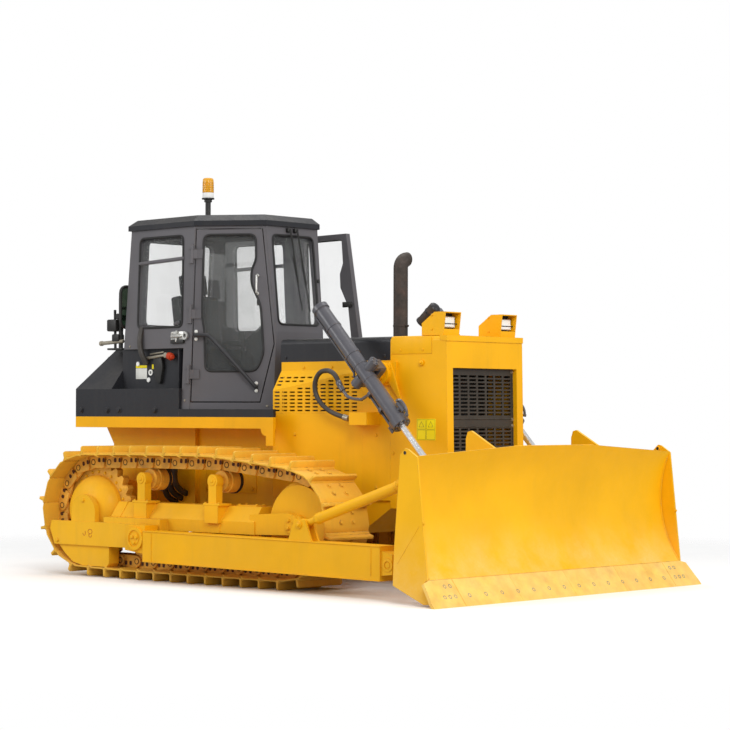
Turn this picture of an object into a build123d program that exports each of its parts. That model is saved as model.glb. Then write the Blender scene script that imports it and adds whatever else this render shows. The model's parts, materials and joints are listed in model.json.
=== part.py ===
from build123d import *
import math
import os

os.makedirs("parts", exist_ok=True)

# A crawler dozer with a straight push-arm blade.
# Millimetres; X forward, Y to the machine's left, Z up from the ground.
# Places along X are counted from the sprocket axle, which lies behind the middle of the length.
axle_x = -1820.0


def from_axle(x):
    """The model's X of a place that lies x ahead of the sprocket axle."""
    return axle_x + x


SIDES = (("right", -1), ("left", 1))
RUNNING_GAP = 6.0
SEAT_GAP = 0.3

# Tracks
track_y = 940.0
shoe_width = 510.0
shoe_count = 36
shoe_length = 199.0
shoe_plate = 13.0
grouser_height = 67.0
grouser_thick = 26.0
link_above = 61.0
link_below = 50.0
rail_inner = 50.0
rail_width = 42.0
sprocket_z = 560.0
sprocket_pin_radius = 408.5
idler_x = from_axle(2421.0)
idler_z = 516.0
idler_pin_radius = 375.0
carrier_places = (from_axle(705.0), from_axle(1552.0))
carrier_z = 839.0
carrier_radius = 85.0
roller_count = 6
first_roller_x = from_axle(590.0)
last_roller_x = from_axle(1990.0)
roller_radius = 100.0
belt_play = 3.0
rail_seat = 7.0
shoe_tip = link_above + shoe_plate + grouser_height
roller_z = shoe_tip + link_below + roller_radius
shoe_outer = track_y + shoe_width / 2
shoe_inner = track_y - shoe_width / 2

# Track frame, final drive and sprocket
frame_inner = 770.0
frame_outer = 1110.0
frame_bottom = 420.0
frame_top = 640.0
frame_fold = 520.0
frame_rear = from_axle(432.0)
cheek_rear = from_axle(312.0)
frame_front = from_axle(2010.0)
bar_outer = 1203.0
bar_rear = from_axle(-350.0)
bar_front = from_axle(764.0)
bar_bottom = 265.0
bar_top = 467.0
sprocket_thick = 64.0
sprocket_teeth = 25
dome_radius = 296.0
dome_outer = 1150.0
drive_radius = 250.0

# Hull
hull_half = 460.0
hull_plate = 60.0
belly_z = 430.0
rear_case_half = 500.0
rear_case_x = from_axle(-430.0)
rear_case_front = from_axle(700.0)
hull_front = from_axle(2895.0)
deck_bottom = 1265.0
deck_edge = 1359.0
sill_top = 1425.0
deck_half = 720.0
deck_rear = from_axle(-595.0)
deck_front = from_axle(1685.0)
finger_front = from_axle(1839.0)
finger_inner = 688.0
box_front = from_axle(723.0)
box_top = 1600.0
tank_front = from_axle(-125.0)
tank_top = 1960.0
tank_top_half = 440.0
body_half = 590.0
body_top = 1945.0
drawbar_rear = from_axle(-750.0)
drawbar_z = 560.0
drawbar_pin_radius = 27.5

# Hood and radiator guard
guard_half = 478.0
guard_rear = from_axle(2900.0)
guard_front = from_axle(3475.0)
guard_foot = from_axle(3500.0)
guard_bottom = 640.0
guard_top = 2006.0
guard_wall = 40.0
visor_front = from_axle(3482.0)
visor_half = 482.0
visor_z = 1960.0
grille_half = 400.0
grille_bottom = 693.0
grille_top = 1750.0
grille_bar_z = 1320.0
grille_columns = 7
grille_row_pitch = 30.0
hood_rear = from_axle(1690.0)
hood_top = 2005.0
hood_bottom = 1815.0
hood_wall = 12.0
panel_rear = from_axle(1700.0)
panel_taper_end = from_axle(2600.0)
panel_half = 580.0
panel_crease = 1580.0
panel_strip = 1745.0
panel_seam = 1393.0
panel_thick = 12.0
side_plate_bottom = 700.0
exhaust_x = from_axle(2590.0)
exhaust_radius = 59.5
exhaust_top = 2716.0
intake_x = from_axle(3112.0)
intake_rise = 225.0
intake_mouth = (-127.0, 112.0)
intake_y = -196.0
lamp_y = 354.0
lamp_width = 195.0
lamp_front = from_axle(3423.0)
lamp_depth = 220.0
lamp_top = 2190.0

# Cab: right-hand corners at three heights, from the rear post to the front post
cab_wall = 50.0
cab_base_z = 1425.0
cab_knee_z = 2080.0
cab_eave_z = 2980.0
cab_corners = {
    cab_base_z: ((-115.0, 627.0), (832.0, 700.0), (1447.0, 316.0)),
    cab_knee_z: ((-87.0, 600.0), (835.0, 672.0), (1451.0, 287.0)),
    cab_eave_z: ((-35.0, 572.0), (834.0, 640.0), (1355.0, 314.0)),
}
roof_thick = 95.0
glass_thick = 8.0
glass_depth = 20.0
door_open_left = 33.0
beacon_x = from_axle(332.0)
beacon_top = 3470.0

# Blade and its linkage
lift_pivot_x = from_axle(900.0)
lift_pivot_z = 360.0
pivot_pin_radius = 62.0
pin_play = 0.3
arm_inner = 1215.0
arm_outer = 1380.0
arm_front = from_axle(3590.0)
arm_height = 250.0
blade_half = 1590.0
blade_corner_z = 1085.0
blade_crown_z = 1149.0
blade_top_x = from_axle(4150.0)
blade_edge_x = from_axle(4245.0)
blade_edge_z = 192.0
blade_sagitta = 130.0
blade_plate = 24.0
tip_x = from_axle(4390.0)
edge_half = 1332.0
end_half = 1694.0
edge_thick = 22.0
side_plate_thick = 16.0
ear_inner = 652.0
ear_thick = 26.0
ear_outer = 765.0
rod_pin_x = from_axle(3865.0)
rod_pin_z = 620.0
brace_rear = (from_axle(2760.0), 1330.0, 535.0)
brace_front = (from_axle(3790.0), 1330.0, 870.0)
brace_radius = 42.0
brace_lug = 39.0
brace_lug_half = 10.0
brace_ear = 46.0

# Lift cylinders
cylinder_y = 720.0
trunnion_x = from_axle(2850.0)
trunnion_z = 1710.0
barrel_radius = 61.0
barrel_back = 727.0
barrel_ahead = 560.0
rod_radius = 27.5
eye_radius = 60.0
eye_width = 64.0
yoke_reach = 110.0


def facing_right(y):
    """A sketch plane at Y = y whose own X and Y run along the machine's X and Z; it extrudes to the right."""
    return Plane(origin=(0, y, 0), x_dir=(1, 0, 0), z_dir=(0, -1, 0))


def facing_front(x):
    """A sketch plane at X = x whose own X and Y run along the machine's Y and Z; it extrudes forward."""
    return Plane(origin=(x, 0, 0), x_dir=(0, 1, 0), z_dir=(1, 0, 0))


def plate(points, y_one, y_two, mode=Mode.ADD):
    """A plate with an outline of (X, Z) points that reaches from one Y to the other."""
    with BuildSketch(facing_right((y_one + y_two) / 2)) as outline:
        Polygon(*points, align=None)
    extrude(outline.sketch, amount=abs(y_two - y_one) / 2, both=True, mode=mode)


def section(points, x_rear, x_front, mode=Mode.ADD):
    """A bar with a section of (Y, Z) points that reaches from one X to the other."""
    with BuildSketch(facing_front(x_rear)) as outline:
        Polygon(*points, align=None)
    extrude(outline.sketch, amount=x_front - x_rear, mode=mode)


def block(x_span, y_span, z_span, mode=Mode.ADD):
    """A box between two values along each axis."""
    middle = [sum(span) / 2 for span in (x_span, y_span, z_span)]
    lengths = [abs(span[1] - span[0]) for span in (x_span, y_span, z_span)]
    with Locations(tuple(middle)):
        Box(*lengths, mode=mode)


def round_bar(start, end, radius, mode=Mode.ADD):
    """A round bar from one point to another."""
    axis = Vector(*end) - Vector(*start)
    with BuildSketch(Plane(origin=start, z_dir=axis)) as disc:
        Circle(radius)
    extrude(disc.sketch, amount=axis.length, mode=mode)


def cross_bar(x, z, radius, y_one, y_two, mode=Mode.ADD):
    """A round bar that lies across the machine."""
    round_bar((x, y_one, z), (x, y_two, z), radius, mode=mode)


def write(part, name):
    """Name a finished piece and store it as its own file."""
    part.label = name
    export_step(part, f"parts/{name}.step")


# The path of the track's pins: a belt round the sprocket, the idler and the rollers
belt_circles = (
    (from_axle(0.0), sprocket_z, sprocket_pin_radius),
    (carrier_places[0], carrier_z, carrier_radius + link_below + belt_play),
    (carrier_places[1], carrier_z, carrier_radius + link_below + belt_play),
    (idler_x, idler_z, idler_pin_radius),
    (last_roller_x, roller_z, roller_radius + link_below),
    (first_roller_x, roller_z, roller_radius + link_below),
)


def belt_spans(circles):
    """Straight spans between neighbouring circles, as ((x, z), (x, z)), going forward along the top."""
    spans = []
    for here, there in zip(circles, circles[1:] + circles[:1]):
        dx, dz = there[0] - here[0], there[1] - here[1]
        heading = math.atan2(dz, dx)
        lean = math.asin((here[2] - there[2]) / math.hypot(dx, dz))
        out = heading + math.pi / 2 - lean
        spans.append([(c[0] + c[2] * math.cos(out), c[1] + c[2] * math.sin(out)) for c in (here, there)])
    return spans


def belt_points(circles, count):
    """Points at equal steps along the belt, each as (x, z, outward angle)."""
    spans = belt_spans(circles)
    pieces = []
    for number, (start, end) in enumerate(spans):
        pieces.append(("line", start, end, math.dist(start, end)))
        circle = circles[(number + 1) % len(circles)]
        after = spans[(number + 1) % len(spans)][0]
        first = math.atan2(end[1] - circle[1], end[0] - circle[0])
        last = math.atan2(after[1] - circle[1], after[0] - circle[0])
        sweep = (first - last) % (2 * math.pi)
        pieces.append(("arc", circle, first, sweep * circle[2]))
    step = sum(piece[3] for piece in pieces) / count
    points = []
    for number in range(count):
        along = number * step
        for kind, one, two, length in pieces:
            if along < length:
                break
            along -= length
        if kind == "line":
            share = along / length
            angle = math.atan2(two[1] - one[1], two[0] - one[0]) + math.pi / 2
            points.append((one[0] + share * (two[0] - one[0]), one[1] + share * (two[1] - one[1]), angle))
        else:
            angle = two - along / one[2]
            points.append((one[0] + one[2] * math.cos(angle), one[1] + one[2] * math.sin(angle), angle))
    return points


def offset_point(x, z, angle, outward, along=0.0):
    """A point set off from the belt: outward, and forward along its run."""
    return (x + outward * math.cos(angle) + along * math.sin(angle),
            z + outward * math.sin(angle) - along * math.cos(angle))


pins = belt_points(belt_circles, shoe_count)
print("track pitch", round(math.dist(pins[0][:2], pins[1][:2]), 1))

shoe_half = shoe_length / 2
grouser_at = -shoe_half + grouser_thick
# Outline of one shoe: along the run, outward from the pin line
shoe_outline = (
    (-shoe_half, link_above), (shoe_half, link_above),
    (shoe_half, link_above + shoe_plate), (grouser_at + grouser_thick, link_above + shoe_plate),
    (grouser_at + grouser_thick / 3, shoe_tip), (grouser_at - grouser_thick / 3, shoe_tip),
    (grouser_at - grouser_thick, link_above + shoe_plate), (-shoe_half, link_above + shoe_plate),
)

for side_name, side in SIDES:
    with BuildPart() as track:
        for rail in (-1, 1):
            rail_one = side * (track_y + rail * rail_inner)
            rail_two = side * (track_y + rail * (rail_inner + rail_width))
            outer_ring = [offset_point(*pin, link_above + rail_seat) for pin in pins]
            inner_ring = [offset_point(*pin, -link_below) for pin in pins]
            plate(outer_ring, rail_one, rail_two)
            plate(inner_ring, rail_one, rail_two, mode=Mode.SUBTRACT)
        for number, pin in enumerate(pins):
            after = pins[(number + 1) % shoe_count]
            middle_x, middle_z = (pin[0] + after[0]) / 2, (pin[1] + after[1]) / 2
            outward = math.atan2(after[1] - pin[1], after[0] - pin[0]) + math.pi / 2
            outline = [offset_point(middle_x, middle_z, outward, out, along) for along, out in shoe_outline]
            plate(outline, side * shoe_inner, side * shoe_outer)
    write(track.part, f"track_{side_name}")

# Sprockets: a toothed rim between the two rails
with BuildPart() as sprockets:
    tooth_step = 2 * math.pi / sprocket_teeth
    rim = []
    for tooth in range(sprocket_teeth):
        for share, radius in ((-0.42, sprocket_pin_radius - 36), (-0.16, sprocket_pin_radius + 8),
                              (0.16, sprocket_pin_radius + 8), (0.42, sprocket_pin_radius - 36)):
            angle = (tooth + share) * tooth_step
            rim.append((from_axle(0) + radius * math.cos(angle), sprocket_z + radius * math.sin(angle)))
    for side_name, side in SIDES:
        plate(rim, side * (track_y - sprocket_thick / 2), side * (track_y + sprocket_thick / 2))
write(sprockets.part, "sprockets")

# Final drives: a domed cover outboard of the sprocket, its case inboard, and the outer bearing cap on the bar
cap_x = from_axle(55.0)
cap_radius = 150.0
cap_z = 545.0
cap_inner = 1112.0
with BuildPart() as final_drives:
    rim_plane = track_y + sprocket_thick / 2
    for side_name, side in SIDES:
        with BuildSketch(Plane(origin=(from_axle(0), 0, sprocket_z), x_dir=(1, 0, 0), z_dir=(0, 0, 1))):
            with BuildLine():
                Polyline((0, side * rim_plane), (dome_radius, side * rim_plane), (dome_radius, side * (rim_plane + 34)))
                ThreePointArc((dome_radius, side * (rim_plane + 34)), (dome_radius * 0.72, side * (dome_outer - 36)),
                              (dome_radius * 0.3, side * dome_outer))
                Polyline((dome_radius * 0.3, side * dome_outer), (0, side * dome_outer), (0, side * rim_plane))
            make_face()
        revolve(axis=Axis((from_axle(0), 0, sprocket_z), (0, 1, 0)))
        cross_bar(from_axle(0), sprocket_z, drive_radius, side * rear_case_half,
                  side * (track_y - sprocket_thick / 2))
write(final_drives.part, "final_drives")

# Idlers with a centre flange between the rails, and six rollers below and two above on each side
idler_tread = math.sqrt(idler_pin_radius ** 2 - (math.dist(pins[0][:2], pins[1][:2]) / 2) ** 2) - link_below - 1
flange_half = rail_inner - 6
tread_half = rail_inner + rail_width


def roller_pair_profile(x, z, tread, flange, side, hub, hub_half):
    """A double-flanged roller across the track: a raised middle between two treads, and its hub."""
    cross_bar(x, z, tread, side * (track_y - tread_half), side * (track_y + tread_half))
    cross_bar(x, z, flange, side * (track_y - flange_half), side * (track_y + flange_half))
    cross_bar(x, z, hub, side * (track_y - hub_half), side * (track_y + hub_half))


idler_hub_half = 120.0
with BuildPart() as idlers:
    for side_name, side in SIDES:
        roller_pair_profile(idler_x, idler_z, idler_tread, idler_tread + 30, side, 80, idler_hub_half)
write(idlers.part, "idlers")

roller_places = [first_roller_x + number * (last_roller_x - first_roller_x) / (roller_count - 1)
                 for number in range(roller_count)]
with BuildPart() as track_rollers:
    for side_name, side in SIDES:
        for roller_x in roller_places:
            roller_pair_profile(roller_x, roller_z, roller_radius - 1, roller_radius + 18, side, 45, 112)
write(track_rollers.part, "track_rollers")

carrier_post_inner = track_y + tread_half + 26
with BuildPart() as carrier_rollers:
    for side_name, side in SIDES:
        for carrier_x in carrier_places:
            roller_pair_profile(carrier_x, carrier_z, carrier_radius - 1, carrier_radius + 12, side, 42,
                                tread_half + 26)
write(carrier_rollers.part, "carrier_rollers")

# Track frames: a folded box beam, the outer bar with its guards, roller brackets, carrier posts and idler yoke
guard_low = 92.0
post_half = 45.0
base_half = 78.0
beam_fold = 90.0
for side_name, side in SIDES:
    with BuildPart() as frame:
        section([(side * frame_inner, frame_bottom), (side * frame_outer, frame_bottom),
                 (side * frame_outer, frame_fold), (side * (frame_outer - beam_fold), frame_top),
                 (side * (frame_inner + beam_fold), frame_top), (side * frame_inner, frame_fold)],
                frame_rear, frame_front)
        # Two cheeks run on to the rear, one on each side of the sprocket
        section([(side * (track_y + sprocket_thick / 2 + 14), frame_bottom), (side * frame_outer, frame_bottom),
                 (side * frame_outer, frame_fold), (side * (frame_outer - beam_fold), frame_top),
                 (side * (track_y + sprocket_thick / 2 + 14), frame_top)], cheek_rear, frame_rear + 5)
        section([(side * frame_inner, frame_bottom), (side * (track_y - sprocket_thick / 2 - 14), frame_bottom),
                 (side * (track_y - sprocket_thick / 2 - 14), frame_fold + 20), (side * frame_inner, frame_fold)],
                cheek_rear, frame_rear + 5)
        # Outer bar, its rear end cut to stay inside the shoes, and the arm's pivot pin
        bar_points = [(bar_rear + 40, bar_bottom), (bar_front, bar_bottom), (bar_front, bar_top),
                      (bar_rear, bar_top), (bar_rear - 18, bar_top - 70)]
        plate(bar_points, side * (dome_outer + 2), side * bar_outer)
        block((cheek_rear, bar_front), (side * (frame_outer - 60), side * (bar_outer - 6)),
              (bar_top - 60, frame_fold - 6))
        cross_bar(lift_pivot_x, lift_pivot_z, pivot_pin_radius, side * (frame_outer - 30), side * (arm_outer - 22))
        block((bar_front - 60, lift_pivot_x + 110), (side * (frame_outer - 30), side * (bar_outer - 2)),
              (bar_bottom, frame_fold - 6))
        # Lower guard between the bar and the shoes
        plate([(from_axle(369), bar_bottom + 20), (from_axle(369), guard_low + 30), (from_axle(340), guard_low),
               (from_axle(40), guard_low), (from_axle(-90), guard_low + 28), (from_axle(-200), guard_low + 105),
               (from_axle(-290), bar_bottom + 20)],
              side * (track_y + tread_half + 40), side * (bar_outer - 18))
        # Bearing cap that holds the drive's outer end
        block((cap_x - cap_radius, cap_x + cap_radius), (side * (dome_outer + SEAT_GAP), side * (bar_outer - 4)),
              (bar_top - 20, cap_z))
        cross_bar(cap_x, cap_z, cap_radius, side * (dome_outer + SEAT_GAP), side * (bar_outer - 4))
        # Brackets on both sides of each lower roller
        for roller_x in roller_places:
            for inner, outer in ((track_y - 146, track_y - 112), (track_y + 112, track_y + 146)):
                plate([(roller_x - 46, frame_bottom + 20), (roller_x + 46, frame_bottom + 20),
                       (roller_x + 60, roller_z - 30), (roller_x + 30, roller_z - 52),
                       (roller_x - 30, roller_z - 52), (roller_x - 60, roller_z - 30)], side * inner, side * outer)
        # Posts that carry the upper rollers from outside
        for carrier_x in carrier_places:
            block((carrier_x - base_half, carrier_x + base_half), (side * (track_y + 60), side * (frame_outer + 34)),
                  (frame_fold - 20, frame_top + 8))
            block((carrier_x - post_half, carrier_x + post_half), (side * carrier_post_inner, side * (frame_outer + 20)),
                  (frame_top, carrier_z))
            cross_bar(carrier_x, carrier_z, post_half + 12, side * carrier_post_inner, side * (frame_outer + 20))
        # Yoke arms that reach forward to the idler's hub
        for inner, outer in ((track_y - idler_hub_half - 40, track_y - idler_hub_half),
                             (track_y + idler_hub_half, track_y + idler_hub_half + 40)):
            plate([(frame_front - 60, frame_bottom), (idler_x - 40, frame_bottom + 10), (idler_x + 90, idler_z - 70),
                   (idler_x + 90, idler_z + 60), (idler_x - 60, idler_z + 90), (frame_front - 60, frame_fold + 60)],
                  side * inner, side * outer)
    write(frame.part, f"track_frame_{side_name}")

# Cross members between the hull and the track frames
equalizer_x = from_axle(1960.0)
equalizer_half = 80.0
equalizer_z = (470.0, 610.0)
pivot_shaft_x = from_axle(430.0)
with BuildPart() as cross_members:
    block((equalizer_x - equalizer_half, equalizer_x + equalizer_half),
          (-frame_inner, frame_inner), equalizer_z)
    for side_name, side in SIDES:
        cross_bar(pivot_shaft_x, (frame_bottom + frame_fold) / 2 + 20, 62, side * rear_case_half, side * frame_inner)
write(cross_members.part, "cross_members")

# Hull: two long side plates on a belly plate, with the rear drive case as a solid block
with BuildPart() as main_frame:
    for side_name, side in SIDES:
        plate([(rear_case_front - 20, belly_z), (hull_front - 330, belly_z), (hull_front, belly_z + 210),
               (hull_front, deck_bottom), (rear_case_front - 20, deck_bottom)],
              side * (hull_half - hull_plate), side * hull_half)
    plate([(rear_case_front - 20, belly_z), (hull_front - 330, belly_z), (hull_front - 330, belly_z + 30),
           (rear_case_front - 20, belly_z + 30)], -hull_half, hull_half)
    plate([(hull_front - 330, belly_z), (hull_front, belly_z + 210), (hull_front - 30, belly_z + 210),
           (hull_front - 345, belly_z + 30)], -hull_half, hull_half)
    plate([(rear_case_x, deck_bottom), (from_axle(-335), 1120), (from_axle(-335), 470), (from_axle(-290), belly_z),
           (rear_case_front, belly_z), (rear_case_front, deck_bottom)], -rear_case_half, rear_case_half)
    block((equalizer_x - equalizer_half - RUNNING_GAP, equalizer_x + equalizer_half + RUNNING_GAP),
          (-hull_half - 1, hull_half + 1), (equalizer_z[0] - 8, equalizer_z[1]), mode=Mode.SUBTRACT)
    block((hull_front - 90, hull_front - 20), (-hull_half, hull_half), (deck_bottom - 120, deck_bottom))
    # Bulkhead between the engine and the cab
    block((panel_rear, panel_rear + 14), (-hull_half, hull_half), (deck_bottom - 60, hood_bottom))
write(main_frame.part, "main_frame")

# The engine as one plain block on the hull
engine_rear = from_axle(1850.0)
engine_front = from_axle(2780.0)
with BuildPart() as engine_block:
    block((engine_rear, engine_front), (-300, 300), (belly_z + 200, 1640))
    for side_name, side in SIDES:
        block((engine_rear + 120, engine_rear + 240), (side * 300, side * (hull_half - hull_plate)), (900, 1000))
        block((engine_front - 240, engine_front - 120), (side * 300, side * (hull_half - hull_plate)), (900, 1000))
write(engine_block.part, "engine_block")

# Drawbar with a vertical pin hole in its two jaws
jaw_gap = 90.0
jaw_thick = 45.0
with BuildPart() as drawbar:
    for half in (-1, 1):
        low = drawbar_z + half * jaw_gap / 2
        high = drawbar_z + half * (jaw_gap / 2 + jaw_thick)
        block((drawbar_rear + 70, from_axle(-335)), (-110, 110), (low, high))
        with Locations((drawbar_rear + 70, 0, (low + high) / 2)):
            Cylinder(70, jaw_thick)
    block((from_axle(-450), from_axle(-335)), (-170, 170), (drawbar_z - 150, drawbar_z + 150))
    with Locations((drawbar_rear + 70, 0, drawbar_z)):
        Cylinder(drawbar_pin_radius, jaw_gap + 2 * jaw_thick + 20, mode=Mode.SUBTRACT)
write(drawbar.part, "drawbar")

# Floor platform: the yellow deck, which runs on forward as two side fingers with a rounded leg each
leg_rear = from_axle(1757.0)
leg_bottom = 1125.0
leg_thick = 24.0
leg_radius = 60.0
with BuildPart() as floor_platform:
    block((deck_rear, deck_front), (-deck_half, deck_half), (deck_bottom, deck_edge))
    for side_name, side in SIDES:
        block((deck_front - 20, finger_front), (side * finger_inner, side * deck_half), (deck_bottom, deck_edge))
        with BuildSketch(facing_right(side * (deck_half - leg_thick / 2))):
            with BuildLine():
                Polyline((leg_rear - leg_radius, deck_bottom + 10), (finger_front, deck_bottom + 10),
                         (finger_front, leg_bottom), (leg_rear, leg_bottom), (leg_rear, deck_bottom - leg_radius))
                RadiusArc((leg_rear, deck_bottom - leg_radius), (leg_rear - leg_radius, deck_bottom), leg_radius)
                Line((leg_rear - leg_radius, deck_bottom), (leg_rear - leg_radius, deck_bottom + 10))
            make_face()
        extrude(amount=leg_thick / 2, both=True)
write(floor_platform.part, "floor_platform")

# Dark sill under the cab and along both fingers
with BuildPart() as cab_sill:
    block((box_front, deck_front), (-deck_half, deck_half), (deck_edge, sill_top))
    for side_name, side in SIDES:
        block((deck_front - 20, finger_front), (side * finger_inner, side * deck_half), (deck_edge, sill_top))
write(cab_sill.part, "cab_sill")

# Rear box over the deck, with the bevelled fuel tank and the lower body under the cab's rear
well_half = 520.0
with BuildPart() as fuel_tank:
    block((deck_rear, box_front), (-deck_half, deck_half), (deck_edge, box_top))
    section([(-deck_half, box_top), (deck_half, box_top), (tank_top_half, tank_top), (-tank_top_half, tank_top)],
            deck_rear, tank_front)
    with BuildSketch(facing_right(0)):
        Polygon((deck_rear - 5, box_top), (deck_rear + 235, tank_top + 5), (deck_rear - 5, tank_top + 5), align=None)
    extrude(amount=deck_half + 5, both=True, mode=Mode.SUBTRACT)
write(fuel_tank.part, "fuel_tank")

with BuildPart() as rear_body:
    block((tank_front, box_front), (-body_half, body_half), (box_top, body_top))
    block((tank_front + cab_wall, box_front - 40), (-well_half, well_half), (box_top + 60, body_top + 1),
          mode=Mode.SUBTRACT)
write(rear_body.part, "rear_body")


def cab_outline(height):
    """The cab's six corners at one of its three heights, in order round the plan."""
    right = [(from_axle(x), -y) for x, y in cab_corners[height]]
    return right + [(x, -y) for x, y in reversed(right)]


def cab_form(inset, over=0.0):
    """The solid inside the cab's walls when every wall is moved in by inset, longer by over at both ends."""
    with BuildPart() as form:
        for height in cab_corners:
            with BuildSketch(Plane.XY.offset(height)) as level:
                Polygon(*cab_outline(height), align=None)
                if inset:
                    offset(amount=-inset, kind=Kind.INTERSECTION)
        loft(ruled=True)
        if over:
            for picked, direction in ((form.faces().sort_by(Axis.Z)[0], -1), (form.faces().sort_by(Axis.Z)[-1], 1)):
                extrude(picked, amount=over, dir=(0, 0, direction))
    return form.part


def wall_plane(corner, side):
    """A sketch plane on one cab wall: X runs forward along the wall from a corner, Y is the height."""
    right = [Vector(from_axle(x), -y) for x, y in cab_corners[cab_knee_z]]
    start, end = right[corner], right[corner + 1]
    if side > 0:
        start, end = Vector(start.X, -start.Y), Vector(end.X, -end.Y)
    along = (end - start).normalized()
    return Plane(origin=start, x_dir=along, z_dir=along.cross(Vector(0, 0, 1)))


# Openings in the cab, each an outline of (distance along the wall, height)
rear_side_window = ((178, 2127), (790, 2127), (770, 2908), (178, 2908))
door_window = ((118, 1746), (560, 1746), (622, 1893), (590, 2310), (508, 2480), (508, 2600), (548, 2690),
               (542, 2903), (92, 2903), (84, 2212), (106, 2100))
end_window_half = 250.0
windshield_z = (2144.0, 2905.0)
rear_window_half = 400.0
rear_window_z = (2160.0, 2900.0)
window_radius = 55.0
door_gap = 9.0


def wall_prism(corner, side, outline, shrink=0.0, radius=0.0):
    """A prism straight through one cab wall, over an outline on it."""
    with BuildPart() as prism:
        with BuildSketch(wall_plane(corner, side)) as shape:
            Polygon(*outline, align=None)
            if radius:
                fillet(shape.vertices(), radius)
            if shrink:
                offset(amount=-shrink, kind=Kind.INTERSECTION)
        extrude(amount=160, both=True)
    return prism.part


def end_prism(half, z_span, x, shrink=0.0):
    """A prism along X through the cab's front or rear wall."""
    with BuildPart() as prism:
        with BuildSketch(facing_front(x)):
            with Locations((0, sum(z_span) / 2)):
                RectangleRounded(2 * (half - shrink), z_span[1] - z_span[0] - 2 * shrink, window_radius)
        extrude(amount=220, both=True)
    return prism.part


# Doors hang on a line along the middle corner, just outside the walls
hinge_out = 26.0
hinge_radius = 13.0
knuckle_length = 38.0
hinge_heights = ((1640.0, 1800.0), (2150.0, 2310.0), (2660.0, 2820.0))


def hinge_point(side, height):
    """A point on a door's hinge line at some height."""
    low, high = cab_corners[cab_base_z][1], cab_corners[cab_eave_z][1]
    share = (height - cab_base_z) / (cab_eave_z - cab_base_z)
    x = from_axle(low[0] + share * (high[0] - low[0]))
    y = low[1] + share * (high[1] - low[1]) + hinge_out
    return (x, side * y, height)


def corner_drift(height):
    """How far along the door's wall the leaning middle corner stands from its place at the knee."""
    step = Vector(*hinge_point(-1, height)) - Vector(*hinge_point(-1, cab_knee_z))
    return step.dot(wall_plane(1, -1).x_dir)


# The door's outline on its wall, with the rear edge along the leaning corner
door_rear = 12.0
door_bottom = 1490.0
door_top = 2948.0
door_panel = ((door_rear + corner_drift(door_bottom), door_bottom), (590, door_bottom), (706, 1975),
              (596, door_top), (door_rear + corner_drift(door_top), door_top))


def knuckle_outline(side, height):
    """Plan of a cab hinge knuckle's arm at a height: from the barrel back onto the post."""
    x, y, _ = hinge_point(side, height)
    post = abs(y) - hinge_out
    return [(x, y), (x, side * (post - 8)), (x - 62, side * (post - 8)), (x - 62, side * (post + 9)),
            (x - 20, side * (post + 9)), (x - hinge_radius + 1, y)]


small_radius = 24.0
front_x = from_axle(1400.0)
rear_x = from_axle(-60.0)
hull_skin = cab_form(0) - cab_form(cab_wall, over=10)
with BuildPart() as cab_shell:
    add(hull_skin)
    for side_name, side in SIDES:
        add(wall_prism(0, side, rear_side_window, radius=window_radius), mode=Mode.SUBTRACT)
        add(wall_prism(1, side, door_panel, shrink=-door_gap), mode=Mode.SUBTRACT)
    add(end_prism(end_window_half, windshield_z, front_x), mode=Mode.SUBTRACT)
    add(end_prism(rear_window_half, rear_window_z, rear_x), mode=Mode.SUBTRACT)
    # The rear part stops above the rear box and stands on the lower body
    block((from_axle(-200), box_front + 2), (-deck_half, deck_half), (cab_base_z - 5, body_top), mode=Mode.SUBTRACT)
    for side_name, side in SIDES:
        for low, high in hinge_heights:
            for bottom in (low, high - knuckle_length):
                top = bottom + knuckle_length
                round_bar(hinge_point(side, bottom), hinge_point(side, top), hinge_radius)
                with BuildSketch(Plane.XY.offset(bottom + 2)):
                    Polygon(*knuckle_outline(side, (bottom + top) / 2), align=None)
                extrude(amount=knuckle_length - 4)
write(cab_shell.part, "cab_shell")

glass_skin = cab_form(glass_depth) - cab_form(glass_depth + glass_thick, over=10)
with BuildPart() as cab_glass:
    for side_name, side in SIDES:
        add(glass_skin & wall_prism(0, side, rear_side_window, shrink=SEAT_GAP, radius=window_radius))
    add(glass_skin & end_prism(end_window_half, windshield_z, front_x, shrink=SEAT_GAP))
    add(glass_skin & end_prism(rear_window_half, rear_window_z, rear_x, shrink=SEAT_GAP))
write(cab_glass.part, "cab_glass")

def leaf_outline(side, height):
    """Plan of a hinge leaf at a height: from the barrel, clear of the post, to the door's outer face."""
    wall = wall_plane(1, side)
    outward = wall.z_dir * -side
    corner = Vector(*hinge_point(side, height)) - Vector(0, side * hinge_out, 0)
    barrel = Vector(0, side * hinge_out, 0)
    at, off = barrel.dot(wall.x_dir), barrel.dot(outward)
    profile = ((at, off + 9), (26, 9), (78, 9), (78, -4), (22, -4), (22, 2.5), (at, off - 7))
    return [(corner.X + wall.x_dir.X * u + outward.X * w, corner.Y + wall.x_dir.Y * u + outward.Y * w)
            for u, w in profile]


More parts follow.
